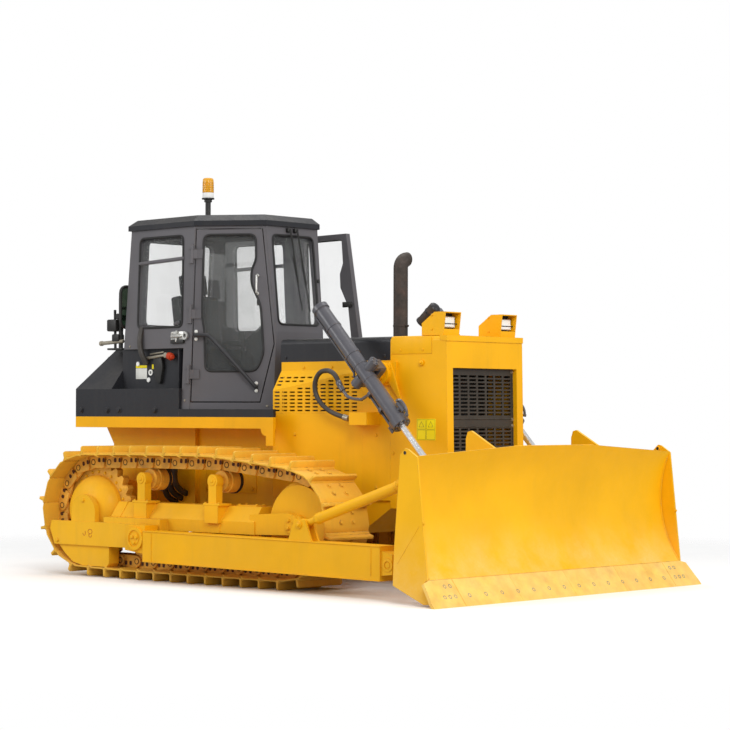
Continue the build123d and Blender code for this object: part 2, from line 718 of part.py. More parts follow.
for side_name, side in SIDES:
    with BuildPart() as door:
        add(hull_skin & wall_prism(1, side, door_panel))
        add(wall_prism(1, side, door_window, radius=small_radius), mode=Mode.SUBTRACT)
        for low, high in hinge_heights:
            bottom, top = low + knuckle_length + SEAT_GAP, high - knuckle_length - SEAT_GAP
            round_bar(hinge_point(side, bottom), hinge_point(side, top), hinge_radius)
            with BuildSketch(Plane.XY.offset(bottom + 3)):
                Polygon(*leaf_outline(side, (low + high) / 2), align=None)
            extrude(amount=top - bottom - 6)
    with BuildPart() as pane:
        add(glass_skin & wall_prism(1, side, door_window, shrink=SEAT_GAP, radius=small_radius))
    pieces = {f"door_{side_name}": door.part, f"door_glass_{side_name}": pane.part}
    for name, piece in pieces.items():
        if side > 0:
            line = Vector(*hinge_point(side, cab_eave_z)) - Vector(*hinge_point(side, cab_base_z))
            piece = piece.rotate(Axis(hinge_point(side, cab_base_z), line), door_open_left)
        write(piece, name)

# Roof: a slab with a bevelled rim that overhangs the walls
roof_over = 22.0
roof_bevel = 60.0
with BuildPart() as cab_roof:
    with BuildSketch(Plane.XY.offset(cab_eave_z)):
        Polygon(*cab_outline(cab_eave_z), align=None)
        offset(amount=roof_over, kind=Kind.INTERSECTION)
    extrude(amount=roof_thick * 0.45)
    top = cab_roof.faces().sort_by(Axis.Z)[-1]
    extrude(top, amount=roof_thick * 0.55, taper=math.degrees(math.atan(roof_bevel / (roof_thick * 0.55))))
write(cab_roof.part, "cab_roof")

beacon_base = cab_eave_z + roof_thick
with BuildPart() as beacon:
    round_bar((beacon_x, 0, beacon_base), (beacon_x, 0, beacon_top - 185), 24)
    round_bar((beacon_x, 0, beacon_top - 190), (beacon_x, 0, beacon_top - 172), 56)
    round_bar((beacon_x, 0, beacon_top - 172), (beacon_x, 0, beacon_top), 50)
write(beacon.part, "beacon")

# Seat on a pedestal and the dash ahead of it
seat_x = from_axle(430.0)
well_floor = box_top + 60
floor_top = sill_top
with BuildPart() as seat:
    block((seat_x - 180, seat_x + 180), (-170, 170), (well_floor, 1760))
    block((seat_x - 250, seat_x + 240), (-255, 255), (1760, 1900))
    fillet(seat.edges().filter_by(Axis.Z).group_by(Axis.Z)[-1], 50)
    plate([(seat_x - 250, 1890), (seat_x - 130, 1890), (seat_x - 210, 2420), (seat_x - 330, 2420)], -235, 235)
    plate([(seat_x - 300, 2410), (seat_x - 220, 2410), (seat_x - 235, 2590), (seat_x - 315, 2590)], -130, 130)
    for side_name, side in SIDES:
        block((seat_x - 200, seat_x + 200), (side * 262, side * 330), (1980, 2040))
        block((seat_x - 190, seat_x - 120), (side * 200, side * 330), (1900, 2000))
write(seat.part, "seat")

dash_rear = from_axle(1020.0)
dash_front = from_axle(1350.0)
with BuildPart() as console:
    plate([(dash_rear + 90, floor_top), (dash_front, floor_top), (dash_front, 2090), (dash_front - 130, 2140),
           (dash_rear, 2010), (dash_rear + 20, 1930), (dash_rear + 90, 1880)], -230, 230)
    for lever_y in (-150, 150):
        round_bar((dash_rear - 60, lever_y, floor_top + 14), (dash_rear - 110, lever_y, 2020), 16)
        round_bar((dash_rear - 110, lever_y, 2010), (dash_rear - 118, lever_y, 2090), 28)
    block((dash_rear - 130, dash_rear + 100), (-190, 190), (floor_top, floor_top + 30))
write(console.part, "console")

# Engine hood: an open-bottomed cover with rounded top edges
hood_edge_radius = 45.0
with BuildPart() as engine_hood:
    block((hood_rear, guard_rear), (-guard_half, guard_half), (hood_bottom, hood_top))
    fillet(engine_hood.edges().filter_by(Axis.X).group_by(Axis.Z)[-1], hood_edge_radius)
    block((hood_rear + hood_wall, guard_rear + 1), (-guard_half + hood_wall, guard_half - hood_wall),
          (hood_bottom - 1, hood_top - hood_wall), mode=Mode.SUBTRACT)
    with Locations((exhaust_x, 0, hood_top)):
        Cylinder(exhaust_radius + RUNNING_GAP, 80, mode=Mode.SUBTRACT)
write(engine_hood.part, "engine_hood")

# Exhaust: a pipe on the engine that ends in a short elbow to the left
exhaust_bend = 75.0
pipe_wall = 5.0
with BuildPart() as exhaust_pipe:
    with BuildLine() as run:
        start = (exhaust_x, 0, 1640)
        Line(start, (exhaust_x, 0, exhaust_top - exhaust_bend - exhaust_radius))
        bend_z = exhaust_top - exhaust_bend - exhaust_radius
        ThreePointArc((exhaust_x, 0, bend_z),
                      (exhaust_x, exhaust_bend * (1 - math.sqrt(0.5)), bend_z + exhaust_bend * math.sqrt(0.5)),
                      (exhaust_x, exhaust_bend, bend_z + exhaust_bend))
    for radius, mode in ((exhaust_radius, Mode.ADD), (exhaust_radius - pipe_wall, Mode.SUBTRACT)):
        with BuildSketch(Plane.XY.offset(1640)):
            with Locations((exhaust_x, 0)):
                Circle(radius)
        sweep(path=run.wires()[0], mode=mode)
    round_bar((exhaust_x, 0, 1640), (exhaust_x, 0, 1700), exhaust_radius - 1)
write(exhaust_pipe.part, "exhaust_pipe")

# Side panels: the slotted upper panel bulges out towards the cab, the plain lower one is flush with it
slot_length = 53.0
slot_height = 12.0
slot_pitch = (78.0, 30.0)
first_slot = (from_axle(1742.0), panel_seam + 22.0)


def panel_half_at(x):
    """Half the width of the hull's side panels at some X."""
    share = min(1.0, max(0.0, (x - panel_rear) / (panel_taper_end - panel_rear)))
    return panel_half + share * (guard_half - panel_half)


def crease_at(x):
    """The height where the upper panel starts to lean inwards."""
    share = (x - panel_rear) / (panel_taper_end - panel_rear)
    return panel_crease + share * (panel_strip - 8 - panel_crease)


def panel_loft(side, outline_at, x_rear, x_front):
    """A panel lofted between its sections at two places along the hull."""
    with BuildPart() as panel:
        for x in (x_rear, x_front):
            with BuildSketch(facing_front(x)):
                Polygon(*[(side * y, z) for y, z in outline_at(x)], align=None)
        loft(ruled=True)
    return panel.part


def upper_outline(x):
    """Section of the slotted panel: lower face, leaning face and upper strip."""
    half, crease, t = panel_half_at(x), crease_at(x), panel_thick
    return [(half, panel_seam), (half, crease), (guard_half, panel_strip), (guard_half, hood_bottom),
            (guard_half - t, hood_bottom), (guard_half - t, panel_strip - 4), (half - t, crease - 4),
            (half - t, panel_seam)]


def lower_outline(x):
    """Section of the plain lower panel."""
    half = panel_half_at(x)
    return [(half, panel_seam), (half, side_plate_bottom), (half - panel_thick, side_plate_bottom),
            (half - panel_thick, panel_seam)]


with BuildPart() as side_panels:
    for side_name, side in SIDES:
        add(panel_loft(side, upper_outline, panel_rear, panel_taper_end - 1))
        section([(side * guard_half, panel_seam), (side * guard_half, hood_bottom),
                 (side * (guard_half - panel_thick), hood_bottom), (side * (guard_half - panel_thick), panel_seam)],
                panel_taper_end - 1, guard_rear)
    slots = []
    for row in range(13):
        for column in range(11):
            x = first_slot[0] + column * slot_pitch[0]
            z = first_slot[1] + row * slot_pitch[1]
            below = crease_at(x) - z > 22 and x < from_axle(2540)
            above = z - crease_at(x) > 26 and z < panel_strip - 48 and x < from_axle(2110)
            if below or above:
                slots.append((x, z))
    for side_name, side in SIDES:
        with BuildSketch(facing_right(side * (panel_half + 20))):
            with Locations(*slots):
                Rectangle(slot_length, slot_height)
        extrude(amount=side * 200, mode=Mode.SUBTRACT)
write(side_panels.part, "side_panels")

with BuildPart() as lower_panels:
    for side_name, side in SIDES:
        add(panel_loft(side, lower_outline, panel_rear, panel_taper_end))
        section([(side * guard_half, side_plate_bottom), (side * guard_half, panel_seam),
                 (side * (guard_half - panel_thick), panel_seam),
                 (side * (guard_half - panel_thick), side_plate_bottom)], panel_taper_end, guard_rear)
        # Brackets that hold the panel off the hull
        for bracket_x in (from_axle(1760.0), from_axle(2300.0), from_axle(2800.0)):
            block((bracket_x, bracket_x + 50), (side * hull_half, side * (panel_half_at(bracket_x + 50) - panel_thick + 1)),
                  (850, 1000))
write(lower_panels.part, "lower_panels")

# Radiator guard: an open frame with a leaning front, a visor and the grille's opening
with BuildPart() as radiator_guard:
    plate([(guard_rear, guard_bottom), (guard_foot, guard_bottom), (guard_front, guard_top), (guard_rear, guard_top)],
          -guard_half, guard_half)
    fillet(radiator_guard.edges().filter_by(Axis.X).group_by(Axis.Z)[-1], hood_edge_radius)
    plate([(guard_rear - 1, guard_bottom - 1), (guard_foot - guard_wall, guard_bottom - 1),
           (guard_front - guard_wall, guard_top - guard_wall), (guard_rear - 1, guard_top - guard_wall)],
          -guard_half + guard_wall, guard_half - guard_wall, mode=Mode.SUBTRACT)
    block((guard_front - 150, guard_foot + 50), (-grille_half, grille_half), (grille_bottom, grille_top),
          mode=Mode.SUBTRACT)
    block((guard_front - guard_wall - 10, guard_foot - 30), (-guard_half + 10, guard_half - 10),
          (guard_bottom, grille_bottom))
    plate([(guard_front - 60, visor_z + 8), (visor_front, visor_z), (visor_front, visor_z + 46),
           (guard_front - 60, visor_z + 46)], -visor_half, visor_half)
write(radiator_guard.part, "radiator_guard")

# Grille: slotted plates in two panels, set a little behind the guard's face
grille_thick = 14.0
grille_play = 2.0
grille_recess = 54.0
rail_height = 38.0
slot_wide = 88.0
slot_tall = 17.0


def guard_face(z):
    """The X of the guard's leaning front face at a height."""
    return guard_foot + (z - guard_bottom) / (guard_top - guard_bottom) * (guard_front - guard_foot)


with BuildPart() as radiator_grille:
    lean = math.degrees(math.atan((guard_foot - guard_front) / (guard_top - guard_bottom)))
    grille_plane = Plane(origin=(guard_face(grille_bottom) - grille_recess, 0, grille_bottom), x_dir=(0, 1, 0),
                         z_dir=(math.cos(math.radians(lean)), 0, math.sin(math.radians(lean))))
    with BuildSketch(grille_plane):
        with Locations((0, (grille_top - grille_bottom) / 2)):
            Rectangle(2 * (grille_half - grille_play), grille_top - grille_bottom - 2 * grille_play)
        column_pitch = 2 * (grille_half - 20) / grille_columns
        rows = int((grille_top - grille_bottom - 40) / grille_row_pitch)
        for row in range(rows):
            height = 34 + row * grille_row_pitch
            if abs(height + grille_bottom - grille_bar_z) < rail_height:
                continue
            with Locations(*[(column_pitch * (column - (grille_columns - 1) / 2), height)
                             for column in range(grille_columns)]):
                Rectangle(slot_wide, slot_tall, mode=Mode.SUBTRACT)
    extrude(amount=grille_thick)
    for side in (-1, 1):
        for height in (grille_bottom + 90, grille_bar_z, grille_top - 60):
            block((guard_front - guard_wall - 60, guard_face(height) - guard_wall - 4),
                  (side * (grille_half - 22), side * (guard_half - guard_wall)), (height - 25, height + 25))
write(radiator_grille.part, "radiator_grille")

# Radiator as a plain core behind the grille
with BuildPart() as radiator_core:
    block((guard_rear + 120, guard_rear + 260), (-guard_half + guard_wall, guard_half - guard_wall),
          (guard_bottom + 20, 1880))
write(radiator_core.part, "radiator_core")

# Lamps in two hooded boxes on the guard, and the pre-cleaner cap behind the right one
lamp_wall = 8.0
with BuildPart() as front_lamps:
    for side_name, side in SIDES:
        y_span = (side * lamp_y - lamp_width / 2, side * lamp_y + lamp_width / 2)
        inner = (y_span[0] + lamp_wall, y_span[1] - lamp_wall)
        plate([(lamp_front - lamp_depth, guard_top), (lamp_front, guard_top), (lamp_front + 22, lamp_top),
               (lamp_front - 90, lamp_top), (lamp_front - lamp_depth, lamp_top - 88)], *y_span)
        plate([(lamp_front - 70, guard_top + 50), (lamp_front + 40, guard_top + 50),
               (lamp_front + 40, lamp_top - lamp_wall), (lamp_front - 70, lamp_top - lamp_wall)], *inner,
              mode=Mode.SUBTRACT)
        block((lamp_front - 75, lamp_front - 30), (inner[0] + 22, inner[1] - 22), (guard_top + 66, lamp_top - 42))
        block((lamp_front - 75, lamp_front - 60), (inner[0] - 1, inner[1] + 1), (guard_top + 100, guard_top + 116))
write(front_lamps.part, "front_lamps")

with BuildPart() as intake_cap:
    round_bar((intake_x, intake_y, guard_top), (intake_x, intake_y, guard_top + intake_rise), 38)
    round_bar((intake_x + 14, intake_y, guard_top + intake_rise + 10),
              (intake_x + intake_mouth[0], intake_y, guard_top + intake_mouth[1]), 48)
write(intake_cap.part, "intake_cap")

# Brackets on the guard for the cylinders' yokes, and the boxes on the panels that the hoses leave
bracket_radius = 92.0
stub_radius = 62.0
yoke_inner = 600.0
hose_box = (from_axle(2545.0), from_axle(2790.0))
hose_box_z = (1300.0, 1402.0)
hose_box_out = 640.0
with BuildPart() as cylinder_brackets:
    for side_name, side in SIDES:
        plate([(trunnion_x - 130, trunnion_z - 90), (trunnion_x + 130, trunnion_z - 90),
               (trunnion_x + 130, trunnion_z + 90), (trunnion_x - 130, trunnion_z + 90)],
              side * guard_half, side * (guard_half + 30))
        cross_bar(trunnion_x, trunnion_z, bracket_radius, side * (guard_half + 20), side * (yoke_inner - 40))
        cross_bar(trunnion_x, trunnion_z, stub_radius, side * (yoke_inner - 50), side * (yoke_inner - SEAT_GAP))
write(cylinder_brackets.part, "cylinder_brackets")

with BuildPart() as hose_boxes:
    for side_name, side in SIDES:
        with BuildSketch(Plane.XY.offset(hose_box_z[0])):
            Polygon((hose_box[0], side * panel_half_at(hose_box[0])), (hose_box[0], side * (hose_box_out - 60)),
                    (hose_box[0] + 60, side * hose_box_out), (hose_box[1], side * hose_box_out),
                    (hose_box[1], side * guard_half), (panel_taper_end, side * guard_half), align=None)
        extrude(amount=hose_box_z[1] - hose_box_z[0])
write(hose_boxes.part, "hose_boxes")

# Lift cylinders: barrel, gland, cap and the yoke that hangs on the bracket
reach_x, reach_z = rod_pin_x - trunnion_x, rod_pin_z - trunnion_z
rod_reach = math.hypot(reach_x, reach_z)
along = Vector(reach_x / rod_reach, 0, reach_z / rod_reach)
across = Vector(-along.Z, 0, along.X)
gland_length = 70.0
gland_radius = 76.0
rod_bore = rod_radius + pin_play
tube_radius = 13.0
rod_inner_end = 45.0


def on_cylinder(side, ahead, off=0.0, y=cylinder_y):
    """A point ahead of the trunnion along the cylinder, and off to its upper side."""
    point = Vector(trunnion_x, side * y, trunnion_z) + along * ahead + across * off
    return (point.X, point.Y, point.Z)


fitting_tube = ((from_axle(2502.0), 640.0, 1618.0), (from_axle(2545.0), 644.0, 1572.0),
                (from_axle(2600.0), 652.0, 1524.0), (from_axle(2680.0), 668.0, 1508.0),
                (from_axle(2790.0), 695.0, 1502.0))

for side_name, side in SIDES:
    with BuildPart() as barrel:
        round_bar(on_cylinder(side, -barrel_back), on_cylinder(side, barrel_ahead), barrel_radius)
        round_bar(on_cylinder(side, -barrel_back), on_cylinder(side, -barrel_back + 40), barrel_radius + 8)
        round_bar(on_cylinder(side, barrel_ahead - gland_length), on_cylinder(side, barrel_ahead), gland_radius)
        # Yoke: a plate inboard of the barrel with an arm and a cap on each side of it
        middle = Plane(origin=on_cylinder(side, 0, y=yoke_inner + 30), x_dir=along, z_dir=(0, side, 0))
        with BuildSketch(middle):
            RectangleRounded(120, 2 * yoke_reach, 30)
        extrude(amount=30, both=True)
        for end in (-1, 1):
            round_bar(on_cylinder(side, 0, end * (barrel_radius - 12)), on_cylinder(side, 0, end * (yoke_reach + 28)), 46)
            arm = Plane(origin=on_cylinder(side, 0, end * (yoke_reach - 16), y=(yoke_inner + cylinder_y) / 2),
                        x_dir=along, z_dir=across)
            with BuildSketch(arm):
                Rectangle(100, cylinder_y - yoke_inner)
            extrude(amount=16, both=True)
        # Oil tube along the underside with its clamps, and the stub where the hose joins it
        tube_off = -(barrel_radius + tube_radius + 10)
        round_bar(on_cylinder(side, 150, tube_off), on_cylinder(side, barrel_ahead - 20, tube_off), tube_radius)
        for ahead in (170, 340, barrel_ahead - 40):
            round_bar(on_cylinder(side, ahead - 14, tube_off / 2 - 12), on_cylinder(side, ahead + 14, tube_off / 2 - 12), 46)
        # Bent tube from the hose's fitting, on the barrel's rear side
        bend = [(x, side * y, z) for x, y, z in fitting_tube] + [on_cylinder(side, 150, tube_off)]
        for start, end in zip(bend, bend[1:]):
            round_bar(start, end, tube_radius)
            with Locations(end):
                Sphere(tube_radius)
        round_bar(bend[0], bend[1], tube_radius + 9)
        # Bore for the rod
        round_bar(on_cylinder(side, -barrel_back + 60), on_cylinder(side, barrel_ahead + 1), rod_bore,
                  mode=Mode.SUBTRACT)
    write(barrel.part, f"lift_cylinder_{side_name}")

    with BuildPart() as rod:
        round_bar(on_cylinder(side, rod_inner_end), on_cylinder(side, rod_reach - eye_radius + 10), rod_radius)
        round_bar(on_cylinder(side, rod_reach - eye_radius - 40), on_cylinder(side, rod_reach - eye_radius + 20),
                  rod_radius + 9)
        cross_bar(rod_pin_x, rod_pin_z, eye_radius, side * (cylinder_y - eye_width / 2),
                  side * (cylinder_y + eye_width / 2))
    write(rod.part, f"lift_rod_{side_name}")


# The hose's route on one side: from the box on the panel, back and up, then over to the cylinder's fitting
hose_route = (
    (from_axle(2540.0), 578.0, 1352.0),
    (from_axle(2423.0), 581.0, 1377.0),
    (from_axle(2317.0), 586.0, 1422.0),
    (from_axle(2242.0), 592.0, 1480.0),
    (from_axle(2203.0), 598.0, 1543.0),
    (from_axle(2193.0), 604.0, 1608.0),
    (from_axle(2211.0), 610.0, 1670.0),
    (from_axle(2252.0), 616.0, 1716.0),
    (from_axle(2309.0), 621.0, 1739.0),
    (from_axle(2369.0), 625.0, 1735.0),
)
hose_radius = 20.0
arc_share = 0.45


def route_radii(route):
    """The arc radius at each corner of a route: as large as its two runs allow."""
    radii = []
    for before, here, after in zip(route, route[1:], route[2:]):
        back, ahead = Vector(*here) - Vector(*before), Vector(*after) - Vector(*here)
        turn = math.radians(back.get_angle(ahead))
        radii.append(arc_share * min(back.length, ahead.length) / math.tan(turn / 2))
    return radii


for side_name, side in SIDES:
    route = [(x, side * y, z) for x, y, z in hose_route]
    radii = route_radii(route)
    with BuildPart() as hose:
        with BuildLine() as run:
            FilletPolyline(*route, radius=radii)
        with BuildSketch(Plane(origin=route[0], z_dir=Vector(*route[1]) - Vector(*route[0]))):
            Circle(hose_radius)
        sweep(path=run.wires()[0])
    print("hose", side_name, "radii", [round(radius) for radius in radii], "length", round(run.wires()[0].length),
          "volume over section times length",
          round(hose.part.volume / (math.pi * hose_radius ** 2 * run.wires()[0].length), 4))
    write(hose.part, f"lift_hose_{side_name}")


# Blade: a curved plate with side plates, boxes and ribs behind it
chord_x, chord_z = blade_edge_x - blade_top_x, blade_edge_z - blade_corner_z
chord = math.hypot(chord_x, chord_z)
bow = (chord_z / chord, -chord_x / chord)
blade_radius = (chord ** 2 / 4 + blade_sagitta ** 2) / (2 * blade_sagitta)
bow_centre = ((blade_top_x + blade_edge_x) / 2 - bow[0] * (blade_radius - blade_sagitta),
              (blade_corner_z + blade_edge_z) / 2 - bow[1] * (blade_radius - blade_sagitta))


def face_point(z, behind=0.0):
    """A point of the blade's front face at a height, or that far behind the face."""
    radius = blade_radius + behind
    return (bow_centre[0] - math.sqrt(radius ** 2 - (z - bow_centre[1]) ** 2), z)


edge_run, edge_drop = tip_x - blade_edge_x, blade_edge_z
edge_length = math.hypot(edge_run, edge_drop)
end_bit_thick = edge_thick + 4


def edge_point(down, behind):
    """A point down the sloping front of the cutting edge, or behind it."""
    return (blade_edge_x + (edge_run * down - edge_drop * behind) / edge_length,
            blade_edge_z - (edge_drop * down + edge_run * behind) / edge_length)


box_depth = 130.0
ear_rear = from_axle(3839.0)
ear_top = 1263.0
with BuildPart() as blade:
    with BuildSketch(facing_right(0)):
        with BuildLine():
            middle_z = (blade_edge_z + blade_crown_z) / 2
            ThreePointArc(face_point(blade_edge_z), face_point(middle_z), face_point(blade_crown_z))
            ThreePointArc(face_point(blade_edge_z, blade_plate), face_point(middle_z, blade_plate),
                          face_point(blade_crown_z, blade_plate))
            Line(face_point(blade_edge_z), face_point(blade_edge_z, blade_plate))
            Line(face_point(blade_crown_z), face_point(blade_crown_z, blade_plate))
        make_face()
    extrude(amount=blade_half, both=True)
    # Boxes along the back at the top and the foot
    for low, high in ((930.0, 1040.0), (blade_edge_z + 10, 400.0)):
        plate([face_point(low, blade_plate - 4), face_point(high, blade_plate - 4),
               (face_point(high, blade_plate)[0] - box_depth * 0.7, high - 15),
               (face_point(low, blade_plate)[0] - box_depth * 0.7, low + 15)], -blade_half, blade_half)
    # The top edge falls from the middle to the corners
    for side_name, side in SIDES:
        with BuildSketch(facing_front(blade_top_x - 400)):
            Polygon((side * 500, blade_crown_z), (side * (blade_half + 5), blade_corner_z),
                    (side * (blade_half + 5), blade_crown_z + 20), (side * 500, blade_crown_z + 20), align=None)
        extrude(amount=800, mode=Mode.SUBTRACT)
    # Side plates
    for side_name, side in SIDES:
        with BuildSketch(facing_right(side * (blade_half + side_plate_thick / 2))):
            with BuildLine():
                Line(face_point(blade_edge_z), face_point(blade_corner_z - 6))
                Polyline(face_point(blade_corner_z - 6), (from_axle(4060), 1134), (from_axle(4032), 1140),
                         (from_axle(3985), 1096), (from_axle(3930), 430), (from_axle(3916), 140), (from_axle(4210), 16),
                         edge_point(edge_length - 50, end_bit_thick + 1), edge_point(1, end_bit_thick + 1),
                         edge_point(-2, end_bit_thick), face_point(blade_edge_z))
            make_face()
        extrude(amount=side_plate_thick / 2 + 1, both=True)
    # Ears for the lift rods: a tall one inboard and a low one outboard of each rod
    for side_name, side in SIDES:
        for inner, top in ((ear_inner, ear_top), (ear_outer, 930.0)):
            ear = [face_point(330.0, 6), (from_axle(3960), 300), (rod_pin_x - 30, rod_pin_z - 130),
                   (rod_pin_x - 70, rod_pin_z - 40), (rod_pin_x - 70, rod_pin_z + 60)]
            if top > blade_crown_z:
                ear += [(ear_rear, rod_pin_z + 140), (ear_rear, top - 60), (ear_rear + 18, top - 8), (ear_rear + 50, top),
                        (face_point(1100.0)[0] - 30, 1128.0), face_point(1100.0, 6)]
            else:
                ear += [(rod_pin_x - 30, top - 120), (rod_pin_x + 60, top), face_point(top, 6)]
            plate(ear, side * inner, side * (inner + ear_thick))
            boss = inner - 14 if inner == ear_inner else inner + ear_thick - 1
            cross_bar(rod_pin_x, rod_pin_z, 52, side * boss, side * (boss + 15))
        # Pads for the arm and the brace
        plate([face_point(150.0 + blade_edge_z, 4), (from_axle(3790), 330), (from_axle(3790), 210),
               face_point(blade_edge_z + 20, 4)], side * (arm_inner + 60), side * (arm_outer - 45))
        plate([face_point(960.0, 4), (from_axle(3840), 900), (from_axle(3840), 820), face_point(760.0, 4)],
              side * (brace_front[1] - brace_ear - 24), side * (brace_front[1] - brace_ear))
        plate([face_point(960.0, 4), (from_axle(3840), 900), (from_axle(3840), 820), face_point(760.0, 4)],
              side * (brace_front[1] + brace_ear), side * (brace_front[1] + brace_ear + 24))
    # Nothing that stands behind the plate comes through its hollow face
    with BuildSketch(facing_right(0)):
        with BuildLine():
            ThreePointArc(face_point(blade_edge_z), face_point(middle_z), face_point(blade_crown_z))
            Polyline(face_point(blade_crown_z), (tip_x, blade_crown_z), (tip_x, blade_edge_z),
                     face_point(blade_edge_z))
        make_face()
    extrude(amount=blade_half - 60, both=True, mode=Mode.SUBTRACT)
write(blade.part, "blade")

# Cutting edge and end bits on one sloping plane
edge_normal = (edge_drop / edge_length, 0, edge_run / edge_length)
edge_plane = Plane(origin=(blade_edge_x, 0, blade_edge_z), x_dir=(0, 1, 0), z_dir=edge_normal)
with BuildPart() as cutting_edge:
    with BuildSketch(edge_plane):
        with Locations((0, -edge_length / 2 - 11)):
            Rectangle(2 * edge_half, edge_length + 20)
    extrude(amount=-edge_thick)
    for side_name, side in SIDES:
        with BuildSketch(edge_plane):
            Polygon((side * edge_half, -1), (side * (blade_half + 4), -1), (side * (end_half - 34), -22),
                    (side * (end_half - 12), -edge_length * 0.6), (side * end_half, -edge_length * 0.8),
                    (side * end_half, -edge_length - 20), (side * edge_half, -edge_length - 20), align=None)
        extrude(amount=-end_bit_thick)
    block((tip_x - 400, tip_x + 100), (-end_half - 5, end_half + 5), (-80, 0), mode=Mode.SUBTRACT)
write(cutting_edge.part, "cutting_edge")

# Push arms: box beams from the pivot to a knuckle behind the blade
knuckle_x = from_axle(3700.0)
for side_name, side in SIDES:
    with BuildPart() as push_arm:
        plate([(lift_pivot_x + 95, 180), (arm_front, 148), (arm_front, 148 + arm_height), (lift_pivot_x + 95, 420)],
              side * arm_inner, side * arm_outer)
        plate([(lift_pivot_x - 140, 262), (lift_pivot_x + 100, 235), (lift_pivot_x + 100, 470),
               (lift_pivot_x - 140, 470)], side * arm_inner, side * (arm_outer - 20))
        cross_bar(lift_pivot_x, lift_pivot_z, 92, side * (arm_outer - 22), side * (arm_outer - 2))
        plate([(arm_front - 20, 180), (knuckle_x, 195), (knuckle_x, 345), (arm_front - 20, 370)],
              side * (arm_inner + 30), side * (arm_outer - 15))
        plate([(knuckle_x - 5, 200), (from_axle(3790), 212), (from_axle(3790), 328), (knuckle_x - 5, 340)],
              side * (arm_inner + 60), side * (arm_outer - 45))
        # Lugs for the brace
        for lug in (-brace_lug, brace_lug):
            plate([(brace_rear[0] - 130, 385), (brace_rear[0] + 140, 380), (brace_rear[0] + 60, brace_rear[2] + 40),
                   (brace_rear[0] - 50, brace_rear[2] + 45)],
                  side * (brace_rear[1] + lug - brace_lug_half), side * (brace_rear[1] + lug + brace_lug_half))
        cross_bar(lift_pivot_x, lift_pivot_z, pivot_pin_radius + pin_play, side * (arm_inner - 5),
                  side * (arm_outer - 21.5), mode=Mode.SUBTRACT)
    write(push_arm.part, f"push_arm_{side_name}")

with BuildPart() as blade_braces:
    for side_name, side in SIDES:
        rear = (brace_rear[0], side * brace_rear[1], brace_rear[2])
        front = (brace_front[0], side * brace_front[1], brace_front[2])
        line = (Vector(*front) - Vector(*rear)).normalized()
        neck = Vector(*rear) + line * 190
        round_bar(rear, (neck.X, neck.Y, neck.Z), brace_radius * 0.62)
        round_bar((neck.X, neck.Y, neck.Z), front, brace_radius)
        rear_eye, front_eye = brace_lug - brace_lug_half - SEAT_GAP, brace_ear - SEAT_GAP
        cross_bar(rear[0], rear[2], 44, rear[1] - rear_eye, rear[1] + rear_eye)
        cross_bar(front[0], front[2], 46, front[1] - front_eye, front[1] + front_eye)
write(blade_braces.part, "blade_braces")
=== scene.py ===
"""A crawler bulldozer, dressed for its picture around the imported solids.

Lengths are metres. Places along X are counted from the sprocket axle, as the machine's drawings count them.
"""
from __future__ import annotations

import json
import logging
from dataclasses import dataclass, field
from enum import Enum
from functools import partial
from math import asin, atan, atan2, cos, dist, exp, hypot, pi, radians, sin, sqrt, tau
from typing import Callable, Iterable, Sequence

import bpy
from mathutils import Matrix, Vector

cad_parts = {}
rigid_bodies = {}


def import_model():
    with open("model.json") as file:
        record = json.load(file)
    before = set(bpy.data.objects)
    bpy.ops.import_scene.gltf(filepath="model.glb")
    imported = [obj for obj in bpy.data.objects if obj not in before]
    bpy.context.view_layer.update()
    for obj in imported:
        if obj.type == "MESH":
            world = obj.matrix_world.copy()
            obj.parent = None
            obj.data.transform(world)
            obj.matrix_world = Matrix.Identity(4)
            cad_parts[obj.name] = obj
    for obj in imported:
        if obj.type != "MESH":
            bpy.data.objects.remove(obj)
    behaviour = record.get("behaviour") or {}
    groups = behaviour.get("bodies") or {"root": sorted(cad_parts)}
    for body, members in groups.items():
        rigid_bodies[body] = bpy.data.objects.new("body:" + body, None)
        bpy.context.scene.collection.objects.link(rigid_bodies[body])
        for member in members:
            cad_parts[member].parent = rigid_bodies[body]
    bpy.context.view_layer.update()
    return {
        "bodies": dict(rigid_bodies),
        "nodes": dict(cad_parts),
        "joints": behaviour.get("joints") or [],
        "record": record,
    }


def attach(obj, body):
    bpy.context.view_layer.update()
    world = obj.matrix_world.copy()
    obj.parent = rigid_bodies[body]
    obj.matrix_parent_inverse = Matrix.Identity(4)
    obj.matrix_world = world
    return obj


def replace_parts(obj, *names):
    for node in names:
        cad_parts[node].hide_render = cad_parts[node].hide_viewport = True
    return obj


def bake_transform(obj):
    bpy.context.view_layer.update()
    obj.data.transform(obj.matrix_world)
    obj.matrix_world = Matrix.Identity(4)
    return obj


LOG = logging.getLogger("bulldozer")
AXLE_X = -1.82
SIDES = (("right", -1), ("left", 1))
AHEAD = Vector((1, 0, 0))
LEFT = Vector((0, 1, 0))
UP = Vector((0, 0, 1))
CYLINDER_START = Vector((1.03, 0.72, 1.71))
CYLINDER_ALONG = Vector((0.68148, 0.0, -0.73184))
Point = tuple[float, float]
Tint = tuple[int, int, int]
Colour = tuple[float, float, float, float]
Material = bpy.types.Material
Piece = bpy.types.Object


def at(x: float, y: float, z: float) -> Vector:
    """Give a place in the frame from its distance ahead of the sprocket axle, to the left and up."""
    return by(AXLE_X + x, y, z)


def by(x: float, y: float, z: float) -> Vector:
    """Give a shift or a direction."""
    return Vector((x, y, z))


